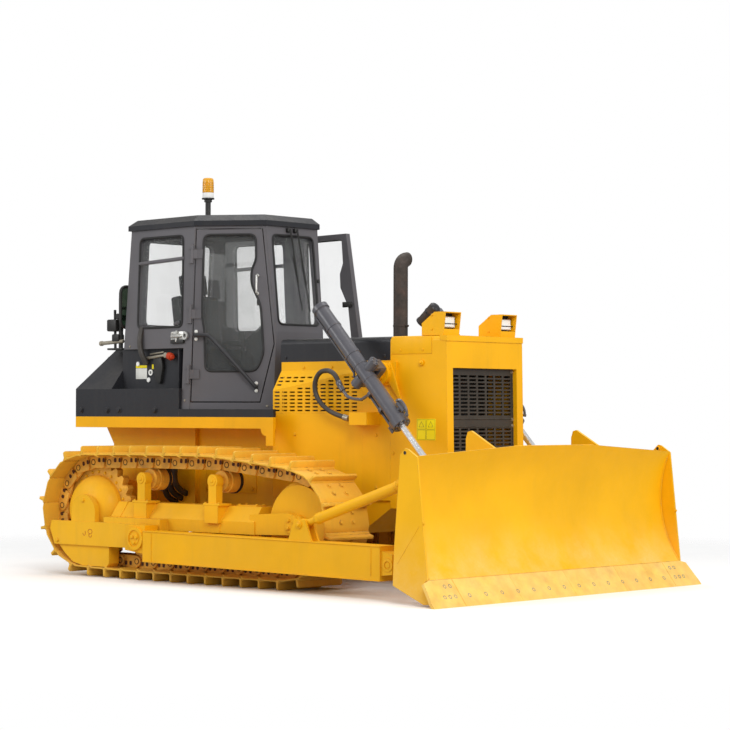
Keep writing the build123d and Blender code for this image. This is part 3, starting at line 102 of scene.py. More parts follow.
def shade(red: int, green: int, blue: int) -> Colour:
    """Turn a screen colour into the linear one that shaders take.

    Args:
        red: Red from 0 to 255.
        green: Green from 0 to 255.
        blue: Blue from 0 to 255.

    Returns:
        The linear colour with full opacity.
    """
    parts = []
    for value in (red, green, blue):
        share = value / 255
        parts.append(share / 12.92 if share <= 0.04045 else ((share + 0.055) / 1.055) ** 2.4)
    return (*parts, 1.0)


def scaled(colour: Colour, gain: float, lift: float = 0.0) -> Colour:
    """Make a colour lighter or darker."""
    return (*(min(1.0, channel * gain + lift) for channel in colour[:3]), 1.0)


# The bench: primitives shaped in edit mode and joined


def deselect() -> None:
    """Leave edit mode with nothing selected."""
    if bpy.context.object and bpy.context.object.mode != "OBJECT":
        bpy.ops.object.mode_set(mode="OBJECT")
    bpy.ops.object.select_all(action="DESELECT")


def pick(piece: Piece) -> None:
    """Make one piece the only selected and active one."""
    deselect()
    piece.select_set(True)
    bpy.context.view_layer.objects.active = piece


def settle(piece: Piece, name: str = "") -> Piece:
    """Put a piece's place into its mesh.

    Args:
        piece: The piece as it was added.
        name: Its new name, or nothing to keep the old one.

    Returns:
        The same piece, unturned and unscaled at the origin.
    """
    pick(piece)
    bpy.ops.object.transform_apply(location=True, rotation=True, scale=True)
    if name:
        piece.name = name
        piece.data.name = name
    return piece


def modify(piece: Piece, kind: str, **settings: object) -> Piece:
    """Add a modifier, set it and apply it.

    Args:
        piece: The piece to change.
        kind: The modifier's type.
        settings: Its properties.

    Returns:
        The same piece.
    """
    pick(piece)
    change = piece.modifiers.new(kind.title(), kind)
    for key, value in settings.items():
        setattr(change, key, value)
    bpy.ops.object.modifier_apply(modifier=change.name)
    return piece


def soften(piece: Piece, width: float, segments: int = 2, angle: float = 30.0) -> Piece:
    """Round a piece's sharp edges."""
    if width <= 0:
        return piece
    return modify(piece, "BEVEL", width=width, segments=segments, limit_method="ANGLE",
                  angle_limit=radians(angle))


def block(low: Vector, high: Vector, edge: float = 0.004) -> Piece:
    """Make a box with rounded edges.

    Args:
        low: One corner.
        high: The opposite corner.
        edge: The radius of its edges.

    Returns:
        The new piece.
    """
    deselect()
    bpy.ops.mesh.primitive_cube_add(size=1, location=(low + high) / 2)
    piece = bpy.context.object
    piece.scale = [abs(one - two) for one, two in zip(high, low)]
    return soften(settle(piece), edge)


def rod(start: Vector, end: Vector, radius: float, sides: int = 24, edge: float = 0.002) -> Piece:
    """Make a round bar with eased ends.

    Args:
        start: The centre of one end.
        end: The centre of the other end.
        radius: The bar's radius.
        sides: How many sides stand for its round.
        edge: The radius of its rims.

    Returns:
        The new piece.
    """
    deselect()
    run = end - start
    bpy.ops.mesh.primitive_cylinder_add(vertices=sides, radius=radius, depth=run.length,
                                        location=(start + end) / 2,
                                        rotation=run.to_track_quat("Z", "Y").to_euler())
    return soften(settle(bpy.context.object), edge, 1, 40)


def outline_plate(outline: Sequence[Point], thick: float, origin: Vector,
                  along: Vector = AHEAD, up: Vector = UP, edge: float = 0.003) -> Piece:
    """Make a flat plate from its outline.

    Args:
        outline: Corners as (along, up) from the origin.
        thick: How far it is extruded, towards along cross up.
        origin: Where the outline's zero lies.
        along: The outline's first direction.
        up: Its second direction.
        edge: The radius of its edges.

    Returns:
        The new piece.
    """
    deselect()
    bpy.ops.mesh.primitive_circle_add(vertices=len(outline), fill_type="NGON")
    piece = bpy.context.object
    for corner, (first, second) in zip(piece.data.vertices, outline):
        corner.co = origin + along * first + up * second
    piece.location = (0, 0, 0)
    bpy.ops.object.mode_set(mode="EDIT")
    bpy.ops.mesh.select_all(action="SELECT")
    bpy.ops.mesh.extrude_region_move(TRANSFORM_OT_translate={"value": along.cross(up).normalized() * thick})
    bpy.ops.mesh.select_all(action="SELECT")
    bpy.ops.mesh.normals_make_consistent(inside=False)
    bpy.ops.object.mode_set(mode="OBJECT")
    return soften(settle(piece), edge)


def lathe(profile: Sequence[Point], origin: Vector, axis: Vector, steps: int = 32) -> Piece:
    """Spin a closed profile round an axis.

    Args:
        profile: Corners as (radius, distance along the axis), from axis to axis or a closed ring.
        origin: Where the axis distance is zero.
        axis: The direction of the axis.
        steps: How many sides stand for the round.

    Returns:
        The new piece.
    """
    deselect()
    bpy.ops.mesh.primitive_circle_add(vertices=len(profile), fill_type="NOTHING")
    piece = bpy.context.object
    for corner, (radius, distance) in zip(piece.data.vertices, profile):
        corner.co = (radius, 0, distance)
    bpy.ops.object.mode_set(mode="EDIT")
    bpy.ops.mesh.select_all(action="SELECT")
    bpy.ops.mesh.spin(steps=steps, angle=tau, center=(0, 0, 0), axis=(0, 0, 1))
    bpy.ops.mesh.select_all(action="SELECT")
    bpy.ops.mesh.remove_doubles(threshold=0.00005)
    bpy.ops.mesh.dissolve_degenerate(threshold=0.00005)
    bpy.ops.mesh.normals_make_consistent(inside=False)
    bpy.ops.object.mode_set(mode="OBJECT")
    piece.matrix_world = Matrix.Translation(origin) @ axis.to_track_quat("Z", "Y").to_matrix().to_4x4()
    return settle(piece)


def tube_curve(name: str, points: Sequence[Vector], radius: float, closed: bool = False, sides: int = 3,
               straight: bool = False, steps: int = 6) -> Piece:
    """Lay a round tube along a smooth or straight-run line, as a curve.

    Args:
        points: The line's points.
        radius: The tube's radius.
        closed: Whether the line returns to its start.
        sides: The curve's bevel resolution.
        straight: Whether the runs stay straight between points.
        steps: The curve's resolution along its length.

    Returns:
        The new curve piece.
    """
    line = bpy.data.curves.new(name, "CURVE")
    line.dimensions = "3D"
    line.bevel_depth = radius
    line.bevel_resolution = sides
    line.use_fill_caps = not closed
    line.resolution_u = steps
    spline = line.splines.new("POLY" if straight else "NURBS")
    spline.points.add(len(points) - 1)
    for knot, place in zip(spline.points, points):
        knot.co = (*place, 1)
    if not straight:
        spline.order_u = 3
        spline.use_endpoint_u = not closed
    spline.use_cyclic_u = closed
    piece = bpy.data.objects.new(name, line)
    bpy.context.scene.collection.objects.link(piece)
    return piece


def pipe(points: Sequence[Vector], radius: float, **shape: object) -> Piece:
    """Make a mesh of a tube, with any setting that tube_curve takes."""
    pick(tube_curve("pipe", points, radius, **shape))
    bpy.ops.object.convert(target="MESH")
    return bpy.context.object


def join(pieces: Iterable[Piece], name: str = "") -> Piece:
    """Join several pieces into one mesh.

    Args:
        pieces: The pieces, which are used up.
        name: The joined piece's name, or nothing to keep the first one's.

    Returns:
        The joined piece.
    """
    parts = list(pieces)
    pick(parts[0])
    for part in parts[1:]:
        part.select_set(True)
    if len(parts) > 1:
        bpy.ops.object.join()
    return settle(bpy.context.object, name)


def turned(origin: Vector, out: Vector, along: Vector | None = None) -> Matrix:
    """Give the placing matrix of a thing whose Z points out of a surface."""
    turn = out.to_track_quat("Z", "Y").to_matrix()
    if along is not None:
        z = out.normalized()
        y = z.cross(along).normalized()
        turn = Matrix((y.cross(z), y, z)).transposed()
    return Matrix.Translation(origin) @ turn.to_4x4()


def repeat(master: Piece, places: Iterable[Matrix]) -> Piece:
    """Set copies of a master at many places and join them.

    Args:
        master: The thing that repeats, modelled at the origin.
        places: One matrix for each copy.

    Returns:
        The joined copies.
    """
    copies = []
    for place in places:
        copy = bpy.data.objects.new("copy", master.data.copy())
        bpy.context.scene.collection.objects.link(copy)
        copy.data.transform(place)
        if place.determinant() < 0:
            copy.data.flip_normals()
        copies.append(copy)
    bpy.data.objects.remove(master)
    return join(copies)


def rounded(outline: Sequence[Point], radius: float, steps: int = 4) -> list[Point]:
    """Round the corners of a closed outline.

    Args:
        outline: The corners in order.
        radius: The corner radius, cut down where a side is short.
        steps: How many points stand for each corner.

    Returns:
        The points of the rounded outline.
    """
    result = []
    count = len(outline)
    for number in range(count):
        before, here, after = (Vector(outline[(number + shift) % count]) for shift in (-1, 0, 1))
        back, ahead = before - here, after - here
        reach = min(radius, back.length * 0.45, ahead.length * 0.45)
        start, end = here + back.normalized() * reach, here + ahead.normalized() * reach
        for step in range(steps + 1):
            share = step / steps
            one, two = start.lerp(here, share), here.lerp(end, share)
            result.append(tuple(one.lerp(two, share)))
    return result


class Bolt(Enum):
    """Fastener heads by their across-corner radius."""

    SMALL = 0.008
    PANEL = 0.011
    MEDIUM = 0.016
    LARGE = 0.022
    TRACK = 0.017


def bolt_master(kind: Bolt) -> Piece:
    """Model one hexagon head on its washer, standing on the origin.

    Args:
        kind: Which head.

    Returns:
        The head as a piece of its own.
    """
    size = kind.value
    washer = rod(by(0, 0, -0.002), by(0, 0, size * 0.22), size * 1.35, 14, size * 0.06)
    head = rod(by(0, 0, size * 0.1), by(0, 0, size * 0.85), size, 6, size * 0.12)
    return join([washer, head])


# Shaders: shared node groups first, then one class for each kind of finish


class Wiring:
    """Adds nodes to one tree and links them."""

    def __init__(self, tree: bpy.types.NodeTree) -> None:
        """Keep the tree that the nodes go into."""
        self.tree = tree

    def node(self, kind: str, **inputs: object) -> bpy.types.Node:
        """Add a node and feed its inputs.

        Args:
            kind: The node's type without its Shader prefix.
            inputs: Sockets or plain values by input name, with underscores for spaces.

        Returns:
            The new node.
        """
        return self.fill(self.tree.nodes.new(f"ShaderNode{kind}"), inputs)

    def fill(self, node: bpy.types.Node, inputs: dict[str, object]) -> bpy.types.Node:
        """Feed a node's inputs by their names."""
        for key, value in inputs.items():
            self.feed(node.inputs[key.replace("_", " ")], value)
        return node

    def feed(self, socket: bpy.types.NodeSocket, value: object) -> None:
        """Link a socket or set a plain value on an input."""
        if isinstance(value, bpy.types.NodeSocket):
            self.tree.links.new(value, socket)
        else:
            socket.default_value = value

    def place(self, stretch: tuple[float, float, float] = (1, 1, 1)) -> bpy.types.NodeSocket:
        """Give Object coordinates, stretched along each axis."""
        coordinates = self.node("TexCoord").outputs["Object"]
        mapping = self.node("Mapping", Vector=coordinates)
        mapping.inputs["Scale"].default_value = stretch
        return mapping.outputs["Vector"]

    def noise(self, scale: object, detail: float = 4.0, stretch: tuple[float, float, float] = (1, 1, 1),
              rough: float = 0.55) -> bpy.types.NodeSocket:
        """Give a noise value over Object coordinates."""
        made = self.node("TexNoise", Vector=self.place(stretch), Scale=scale, Detail=detail, Roughness=rough)
        return made.outputs["Fac"]

    def span(self, value: object, low: object, high: object, to_low: object = 0.0,
             to_high: object = 1.0) -> bpy.types.NodeSocket:
        """Map a value from one span to another, held at both ends."""
        made = self.node("MapRange", Value=value, From_Min=low, From_Max=high, To_Min=to_low, To_Max=to_high)
        return made.outputs["Result"]

    def sum(self, kind: str, one: object, two: object = 0.0) -> bpy.types.NodeSocket:
        """Work out one operation on two values, held between 0 and 1."""
        made = self.tree.nodes.new("ShaderNodeMath")
        made.operation = kind
        made.use_clamp = True
        self.feed(made.inputs[0], one)
        self.feed(made.inputs[1], two)
        return made.outputs[0]

    def blend(self, share: object, one: object, two: object) -> bpy.types.NodeSocket:
        """Mix two colours by a share."""
        made = self.tree.nodes.new("ShaderNodeMix")
        made.data_type = "RGBA"
        self.feed(made.inputs[0], share)
        self.feed(made.inputs[6], one)
        self.feed(made.inputs[7], two)
        return made.outputs[2]

    def group(self, name: str, **inputs: object) -> bpy.types.NodeSocket:
        """Place a shared group, feed its inputs and give its output."""
        made = self.tree.nodes.new("ShaderNodeGroup")
        made.node_tree = bpy.data.node_groups[name]
        return self.fill(made, inputs).outputs[0]


class Surface(Wiring):
    """The nodes of one material, with its shader at their end."""

    def __init__(self, name: str, colour: Tint) -> None:
        """Open the material."""
        self.material = bpy.data.materials.new(name)
        self.material.use_nodes = True
        self.material.diffuse_color = shade(*colour)
        super().__init__(self.material.node_tree)

    def set(self, **inputs: object) -> None:
        """Feed the shader's inputs."""
        self.fill(self.tree.nodes["Principled BSDF"], inputs)

    def bump(self, height: object, strength: float, distance: float, **more: object) -> None:
        """Raise the surface by a height."""
        made = self.node("Bump", Strength=strength, Distance=distance, Height=height, **more)
        self.set(Normal=made.outputs["Normal"])


def start_group(name: str, inputs: dict[str, float],
                outputs: Sequence[str]) -> tuple[Wiring, Callable, Callable]:
    """Open a node group with named float inputs and outputs.

    Args:
        name: The group's name.
        inputs: Input names with their defaults.
        outputs: Output names.

    Returns:
        The group's net, a function that gives an input's socket and one that feeds an output.
    """
    tree = bpy.data.node_groups.new(name, "ShaderNodeTree")
    for key, value in inputs.items():
        tree.interface.new_socket(name=key, in_out="INPUT",
                                  socket_type="NodeSocketFloat").default_value = value
    for key in outputs:
        tree.interface.new_socket(name=key, in_out="OUTPUT", socket_type="NodeSocketFloat")
    net = Wiring(tree)
    entry, leave = tree.nodes.new("NodeGroupInput"), tree.nodes.new("NodeGroupOutput")
    return net, (lambda key: entry.outputs[key]), (lambda key, value: net.feed(leave.inputs[key], value))


def build_groups() -> None:
    """Make the effects that several finishes share."""
    net, take, give = start_group("edge_wear", {"Width": 0.006, "Amount": 0.5, "Scale": 14.0}, ["Mask"])
    corner = net.tree.nodes.new("ShaderNodeBevel")
    corner.samples = 3
    net.feed(corner.inputs["Radius"], take("Width"))
    facing = net.tree.nodes.new("ShaderNodeVectorMath")
    facing.operation = "DOT_PRODUCT"
    net.feed(facing.inputs[0], corner.outputs["Normal"])
    net.feed(facing.inputs[1], net.node("NewGeometry").outputs["Normal"])
    edge = net.span(facing.outputs["Value"], 0.985, 0.8)
    patchy = net.span(net.noise(take("Scale"), 6.0), 0.46, 0.62)
    give("Mask", net.sum("MULTIPLY", net.sum("MULTIPLY", edge, patchy), take("Amount")))

    net, take, give = start_group("settled_dust", {"Amount": 0.3, "Height": 1.2, "Scale": 3.0}, ["Mask"])
    geometry = net.node("NewGeometry")
    lift = net.node("SeparateXYZ", Vector=geometry.outputs["Normal"]).outputs["Z"]
    flat = net.span(lift, 0.25, 0.95, 0.0, 0.75)
    height = net.node("SeparateXYZ", Vector=net.place()).outputs["Z"]
    low = net.span(height, take("Height"), 0.0, 0.0, 0.8)
    cloudy = net.span(net.noise(take("Scale"), 8.0, rough=0.65), 0.35, 0.72)
    fine = net.span(net.noise(60.0, 3.0), 0.3, 0.7, 0.6, 1.0)
    both = net.sum("MULTIPLY", net.sum("ADD", flat, low), net.sum("MULTIPLY", cloudy, fine))
    give("Mask", net.sum("MULTIPLY", both, take("Amount")))

    net, take, give = start_group("scuffs", {"Amount": 0.2, "Scale": 9.0}, ["Mask"])
    strokes = net.span(net.noise(take("Scale"), 9.0, (0.35, 1.0, 6.0), 0.7), 0.66, 0.74)
    patches = net.span(net.noise(2.2, 3.0), 0.48, 0.66)
    give("Mask", net.sum("MULTIPLY", net.sum("MULTIPLY", strokes, patches), take("Amount")))

    net, take, give = start_group("runs", {"Amount": 0.2, "Scale": 10.0}, ["Mask"])
    streaks = net.span(net.noise(take("Scale"), 6.0, (1.0, 1.0, 0.1), 0.6), 0.52, 0.78)
    give("Mask", net.sum("MULTIPLY", streaks, take("Amount")))

    net, take, give = start_group("skin", {"Scale": 220.0, "Depth": 0.5}, ["Height"])
    peel = net.noise(take("Scale"), 2.0)
    sag = net.noise(5.0, 2.0)
    give("Height", net.sum("MULTIPLY", net.sum("ADD", net.sum("MULTIPLY", peel, 0.35),
                                               net.sum("MULTIPLY", sag, 0.5)), take("Depth")))


@dataclass(frozen=True)
class Finish:
    """What every finish has: a name, a colour and how rough it is."""

    name: str
    colour: Tint
    rough: float = 0.45

    def build(self) -> Material:
        """Make the material of this finish."""
        raise NotImplementedError


@dataclass(frozen=True)
class Paint(Finish):
    """Sprayed paint on steel, with worn corners, scuffs, rain streaks and settled dust."""

    bare: Tint = (120, 112, 100)
    dust: Tint = (176, 150, 104)
    wear: float = 0.5
    dusty: float = 0.35
    dust_height: float = 1.3
    scuffed: float = 0.35
    streaky: float = 0.18
    gloss_coat: float = 0.05
    specular: float = 0.3
    corner: float = 0.003

    def build(self) -> Material:
        """Make the painted material."""
        net = Surface(self.name, self.colour)
        clear = shade(*self.colour)
        coat = net.blend(net.span(net.noise(1.6, 5.0), 0.35, 0.7), clear, scaled(clear, 0.86))
        worn = net.group("edge_wear", Width=0.007, Amount=self.wear, Scale=16.0)
        scuff = net.group("scuffs", Amount=self.scuffed, Scale=9.0)
        run = net.group("runs", Amount=self.streaky, Scale=11.0)
        dust = net.group("settled_dust", Amount=self.dusty, Height=self.dust_height, Scale=2.6)
        coat = net.blend(run, coat, shade(*(round(value * 0.55) for value in self.dust)))
        coat = net.blend(scuff, coat, shade(*(min(255, round(value * 0.9 + 30)) for value in self.dust)))
        coat = net.blend(worn, coat, shade(*self.bare))
        coat = net.blend(dust, coat, shade(*self.dust))
        spots = net.span(net.noise(30.0, 5.0), 0.3, 0.7, self.rough - 0.06, self.rough + 0.1)
        dull = net.sum("ADD", spots, net.sum("MULTIPLY", net.sum("ADD", dust, scuff), 0.5))
        net.set(Base_Color=coat, Roughness=dull, Specular_IOR_Level=self.specular,
                Coat_Weight=self.gloss_coat, Coat_Roughness=0.18)
        round_corner = net.node("Bevel", Radius=self.corner)
        round_corner.samples = 3
        chip = net.sum("SUBTRACT", net.group("skin", Scale=240.0, Depth=0.6), net.sum("MULTIPLY", worn, 0.5))
        net.bump(chip, 0.12, 0.002, Normal=round_corner.outputs["Normal"])
        return net.material


@dataclass(frozen=True)
class DarkPaint(Paint):
    """Dark paint with pale steel under it, high up where only grey dust settles."""

    bare: Tint = (150, 146, 140)
    dust: Tint = (150, 142, 128)
    wear: float = 0.25
    dusty: float = 0.3
    dust_height: float = 0.0
    scuffed: float = 0.2


@dataclass(frozen=True)
class Metal(Finish):
    """Bare or cast metal with rust in its hollows and dust on its ledges."""

    metallic: float = 0.75
    rust: float = 0.3
    dusty: float = 0.4
    grain: float = 140.0
    depth: float = 0.25
    rust_tint: Tint = (112, 66, 38)
    dust: Tint = (176, 150, 104)

    def build(self) -> Material:
        """Make the bare-metal material."""
        net = Surface(self.name, self.colour)
        clear = shade(*self.colour)
        pale = scaled(clear, 1.35)
        base = net.blend(net.span(net.noise(9.0, 7.0), 0.35, 0.7), clear, pale)
        rusty = net.sum("MULTIPLY", net.span(net.noise(6.0, 9.0, rough=0.7), 0.5, 0.68), self.rust)
        rubbed = net.group("edge_wear", Width=0.005, Amount=0.8, Scale=20.0)
        dust = net.group("settled_dust", Amount=self.dusty, Height=1.1, Scale=4.0)
        base = net.blend(rusty, base, shade(*self.rust_tint))
        base = net.blend(rubbed, base, pale)
        base = net.blend(dust, base, shade(*self.dust))
        spots = net.span(net.noise(45.0, 5.0), 0.3, 0.7, self.rough - 0.08, self.rough + 0.12)
        net.set(Base_Color=base, Metallic=net.sum("SUBTRACT", self.metallic, net.sum("ADD", dust, rusty)),
                Roughness=net.sum("ADD", spots, net.sum("MULTIPLY", dust, 0.4)))
        net.bump(net.group("skin", Scale=self.grain, Depth=1.0), self.depth, 0.003)
        return net.material


@dataclass(frozen=True)
class Moulded(Finish):
    """Rubber and plastic with a fine grain and dusty high spots."""

    grain: float = 320.0
    depth: float = 0.15
    dusty: float = 0.2

    def build(self) -> Material:
        """Make the moulded material."""
        net = Surface(self.name, self.colour)
        clear = shade(*self.colour)
        base = net.blend(net.span(net.noise(7.0, 5.0), 0.4, 0.7), clear, scaled(clear, 1.3, 0.01))
        dust = net.group("settled_dust", Amount=self.dusty, Height=1.2, Scale=5.0)
        net.set(Base_Color=net.blend(dust, base, shade(150, 136, 112)),
                Roughness=net.span(net.noise(60.0, 4.0), 0.3, 0.7, self.rough - 0.07, self.rough + 0.09))
        net.bump(net.group("skin", Scale=self.grain, Depth=1.0), self.depth, 0.001)
        return net.material


@dataclass(frozen=True)
class Cloth(Finish):
    """Woven seat cover: crossing threads over a faded ground."""

    thread: float = 900.0

    def build(self) -> Material:
        """Make the woven material."""
        net = Surface(self.name, self.colour)
        clear = shade(*self.colour)
        threads = []
        for direction in ("X", "Z"):
            wave = net.node("TexWave", Vector=net.place(), Scale=self.thread / 6, Distortion=1.2)
            wave.bands_direction = direction
            threads.append(wave.outputs["Fac"])
        weave = net.sum("MULTIPLY", threads[0], threads[1])
        soiled = net.span(net.noise(8.0, 5.0), 0.35, 0.7, 0.1, 0.7)
        net.set(Base_Color=net.blend(net.sum("MULTIPLY", weave, soiled), clear, scaled(clear, 1.7, 0.01)),
                Roughness=net.span(weave, 0.0, 1.0, self.rough, self.rough + 0.12), Sheen_Weight=0.35)
        net.bump(weave, 0.35, 0.0008)
        return net.material


@dataclass(frozen=True)
class Pane(Finish):
    """Clear sheet or lens: see-through, with faint dust and wiper haze."""

    clear: float = 0.35
    ribbed: float = 0.0
    hazy: float = 0.16
    lets_through: float = 0.85

    def build(self) -> Material:
        """Make the glass material."""
        net = Surface(self.name, self.colour)
        haze = net.span(net.noise(3.5, 8.0, rough=0.7), 0.42, 0.8, 0.0, self.hazy)
        net.set(Base_Color=net.blend(haze, shade(*self.colour), shade(214, 208, 192)),
                Roughness=net.span(haze, 0.0, 0.2, self.rough, self.rough + 0.22),
                Alpha=net.sum("ADD", haze, self.clear), Transmission_Weight=self.lets_through, IOR=1.45)
        height = net.noise(self.ribbed or 2.0, 1.0, (1.0, 1.0, 0.05) if self.ribbed else (1, 1, 1))
        net.bump(height, 0.5 if self.ribbed else 0.03, 0.002)
        return net.material


FINISHES = (
    Paint("yellow_enamel", (250, 184, 4), 0.46, dusty=0.2, wear=0.38, streaky=0.08, scuffed=0.2,
          dust=(226, 186, 92), specular=0.22),
    # The blade paint's heavy dust low down pales the lower blade: partly dust, partly painted reflection.
    Paint("blade_enamel", (250, 187, 10), 0.5, dusty=0.75, wear=0.5, streaky=0.03, scuffed=0.35,
          dust_height=0.62, dust=(250, 214, 140), specular=0.22),
    Paint("running_enamel", (250, 188, 24), 0.55, dusty=0.5, wear=0.5, streaky=0.12, scuffed=0.3,
          dust_height=0.6, bare=(150, 104, 52), dust=(236, 190, 104), specular=0.22),
    Paint("shoe_enamel", (242, 186, 58), 0.62, dusty=0.9, wear=0.95, streaky=0.22, scuffed=0.6,
          dust_height=0.55, bare=(112, 88, 58), dust=(222, 178, 104), specular=0.22),
    DarkPaint("cab_enamel", (98, 96, 100), 0.42, bare=(130, 112, 98), wear=0.45, streaky=0.12, specular=0.35),
    DarkPaint("charcoal_enamel", (42, 43, 48), 0.48, scuffed=0.25, streaky=0.12),
    DarkPaint("black_enamel", (38, 39, 44), 0.42, bare=(140, 136, 130), dust=(146, 138, 124), streaky=0.1),
    DarkPaint("grille_enamel", (58, 52, 45), 0.5, dusty=0.45, wear=0.3, dust_height=1.6,
              dust=(160, 146, 120)),
    DarkPaint("cylinder_enamel", (78, 78, 86), 0.34, bare=(166, 162, 156), wear=0.3, dust=(170, 164, 154),
              gloss_coat=0.6, specular=0.5),
    DarkPaint("rail_enamel", (52, 52, 56), 0.4, bare=(140, 136, 130), dusty=0.2, wear=0.2, scuffed=0.1),
    Paint("label_white", (226, 226, 220), 0.5, bare=(150, 150, 150), dusty=0.2, wear=0.1, dust_height=0.0),
    Paint("label_yellow", (255, 234, 16), 0.5, bare=(150, 150, 150), dusty=0.04, wear=0.05, scuffed=0.05,
          streaky=0.0, dust_height=0.0),
    Paint("faded_red", (186, 84, 30), 0.6, bare=(200, 140, 30), dusty=0.4, wear=0.3),
    Paint("cap_red", (196, 62, 26), 0.45, dusty=0.2, wear=0.2, dust_height=0.0),
    Metal("edge_metal", (238, 186, 84), 0.5, metallic=0.05, rust=0.22, dusty=0.6, depth=0.2,
          dust=(244, 208, 136), rust_tint=(150, 112, 66)),
    Metal("link_metal", (218, 164, 58), 0.6, metallic=0.05, rust=0.5, dusty=0.8, depth=0.4,
          dust=(224, 180, 100), rust_tint=(138, 84, 34)),
    Metal("roller_metal", (226, 170, 54), 0.55, metallic=0.05, rust=0.45, dusty=0.6, depth=0.35,
          dust=(224, 180, 100), rust_tint=(120, 76, 34)),
    # Dark rusty brown for the link windows and pin-end rings: painted shade in the openings, with some grime.
    Metal("hollow_shade_and_grime", (72, 38, 20), 0.8, metallic=0.0, rust=0.4, dusty=0.1, rust_tint=(44, 26, 16)),
    Metal("bolt_metal", (150, 144, 130), 0.42, metallic=0.75, rust=0.2, dusty=0.3),
    Metal("bright_steel", (196, 196, 192), 0.3, metallic=0.85, rust=0.08, dusty=0.15, depth=0.1),
    Metal("rod_chrome", (236, 238, 240), 0.2, metallic=0.9, rust=0.0, dusty=0.0, grain=60.0, depth=0.0),
    Metal("exhaust_metal", (62, 56, 52), 0.6, metallic=0.5, rust=0.35, dusty=0.15, rust_tint=(92, 58, 40)),
    Metal("core_metal", (52, 50, 48), 0.6, metallic=0.6, rust=0.1, dusty=0.2),
    Metal("engine_iron", (70, 68, 62), 0.6, metallic=0.3, rust=0.2, dusty=0.4),
    Moulded("hose_rubber", (54, 50, 46), 0.5, depth=0.3),
    Moulded("gasket_rubber", (22, 22, 23), 0.6, dusty=0.1),
    Moulded("dash_plastic", (44, 45, 48), 0.55, depth=0.3, dusty=0.1),
    Moulded("white_plastic", (232, 232, 226), 0.35, dusty=0.1),
    Moulded("lamp_black", (28, 27, 26), 0.5),
    Moulded("dial_face", (205, 210, 206), 0.4, dusty=0.05),
    Cloth("seat_cloth", (40, 41, 44), 0.75),
    Pane("window_glass", (196, 204, 202), 0.03, clear=0.1, hazy=0.05),
    Pane("door_window_glass", (214, 218, 216), 0.03, clear=0.26, hazy=0.14),
    Moulded("lamp_lens", (238, 238, 230), 0.18, grain=60.0, depth=0.3, dusty=0.05),
    Pane("mirror_green", (46, 70, 52), 0.08, clear=1.0),
    Pane("tail_red", (190, 24, 18), 0.12, clear=0.9, ribbed=120.0),
    Pane("amber_lens", (255, 186, 30), 0.14, clear=0.92, ribbed=90.0, lets_through=0.35),
)
MATERIALS: dict[str, Material] = {}


def build_finishes() -> None:
    """Make every finish once."""
    build_groups()
    for finish in FINISHES:
        MATERIALS[finish.name] = finish.build()


def fit(piece: Piece, finish: str, body: str, slot: str, angle: float = 35.0) -> Piece:
    """Give a new piece its finish, its shading and the body it moves with.

    Args:
        piece: A finished mesh at the origin.
        finish: The name of its finish.
        body: The body it rides on.
        slot: The record's slot; not used.
        angle: The edge angle over which shading stays sharp.

    Returns:
        The same piece.
    """
    piece.data.materials.clear()
    piece.data.materials.append(MATERIALS[finish])
    pick(piece)
    bpy.ops.object.shade_smooth_by_angle(angle=radians(angle))
    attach(piece, body)
    LOG.info("%s: %d faces on %s", piece.name, len(piece.data.polygons), body)
    return piece


# The stage


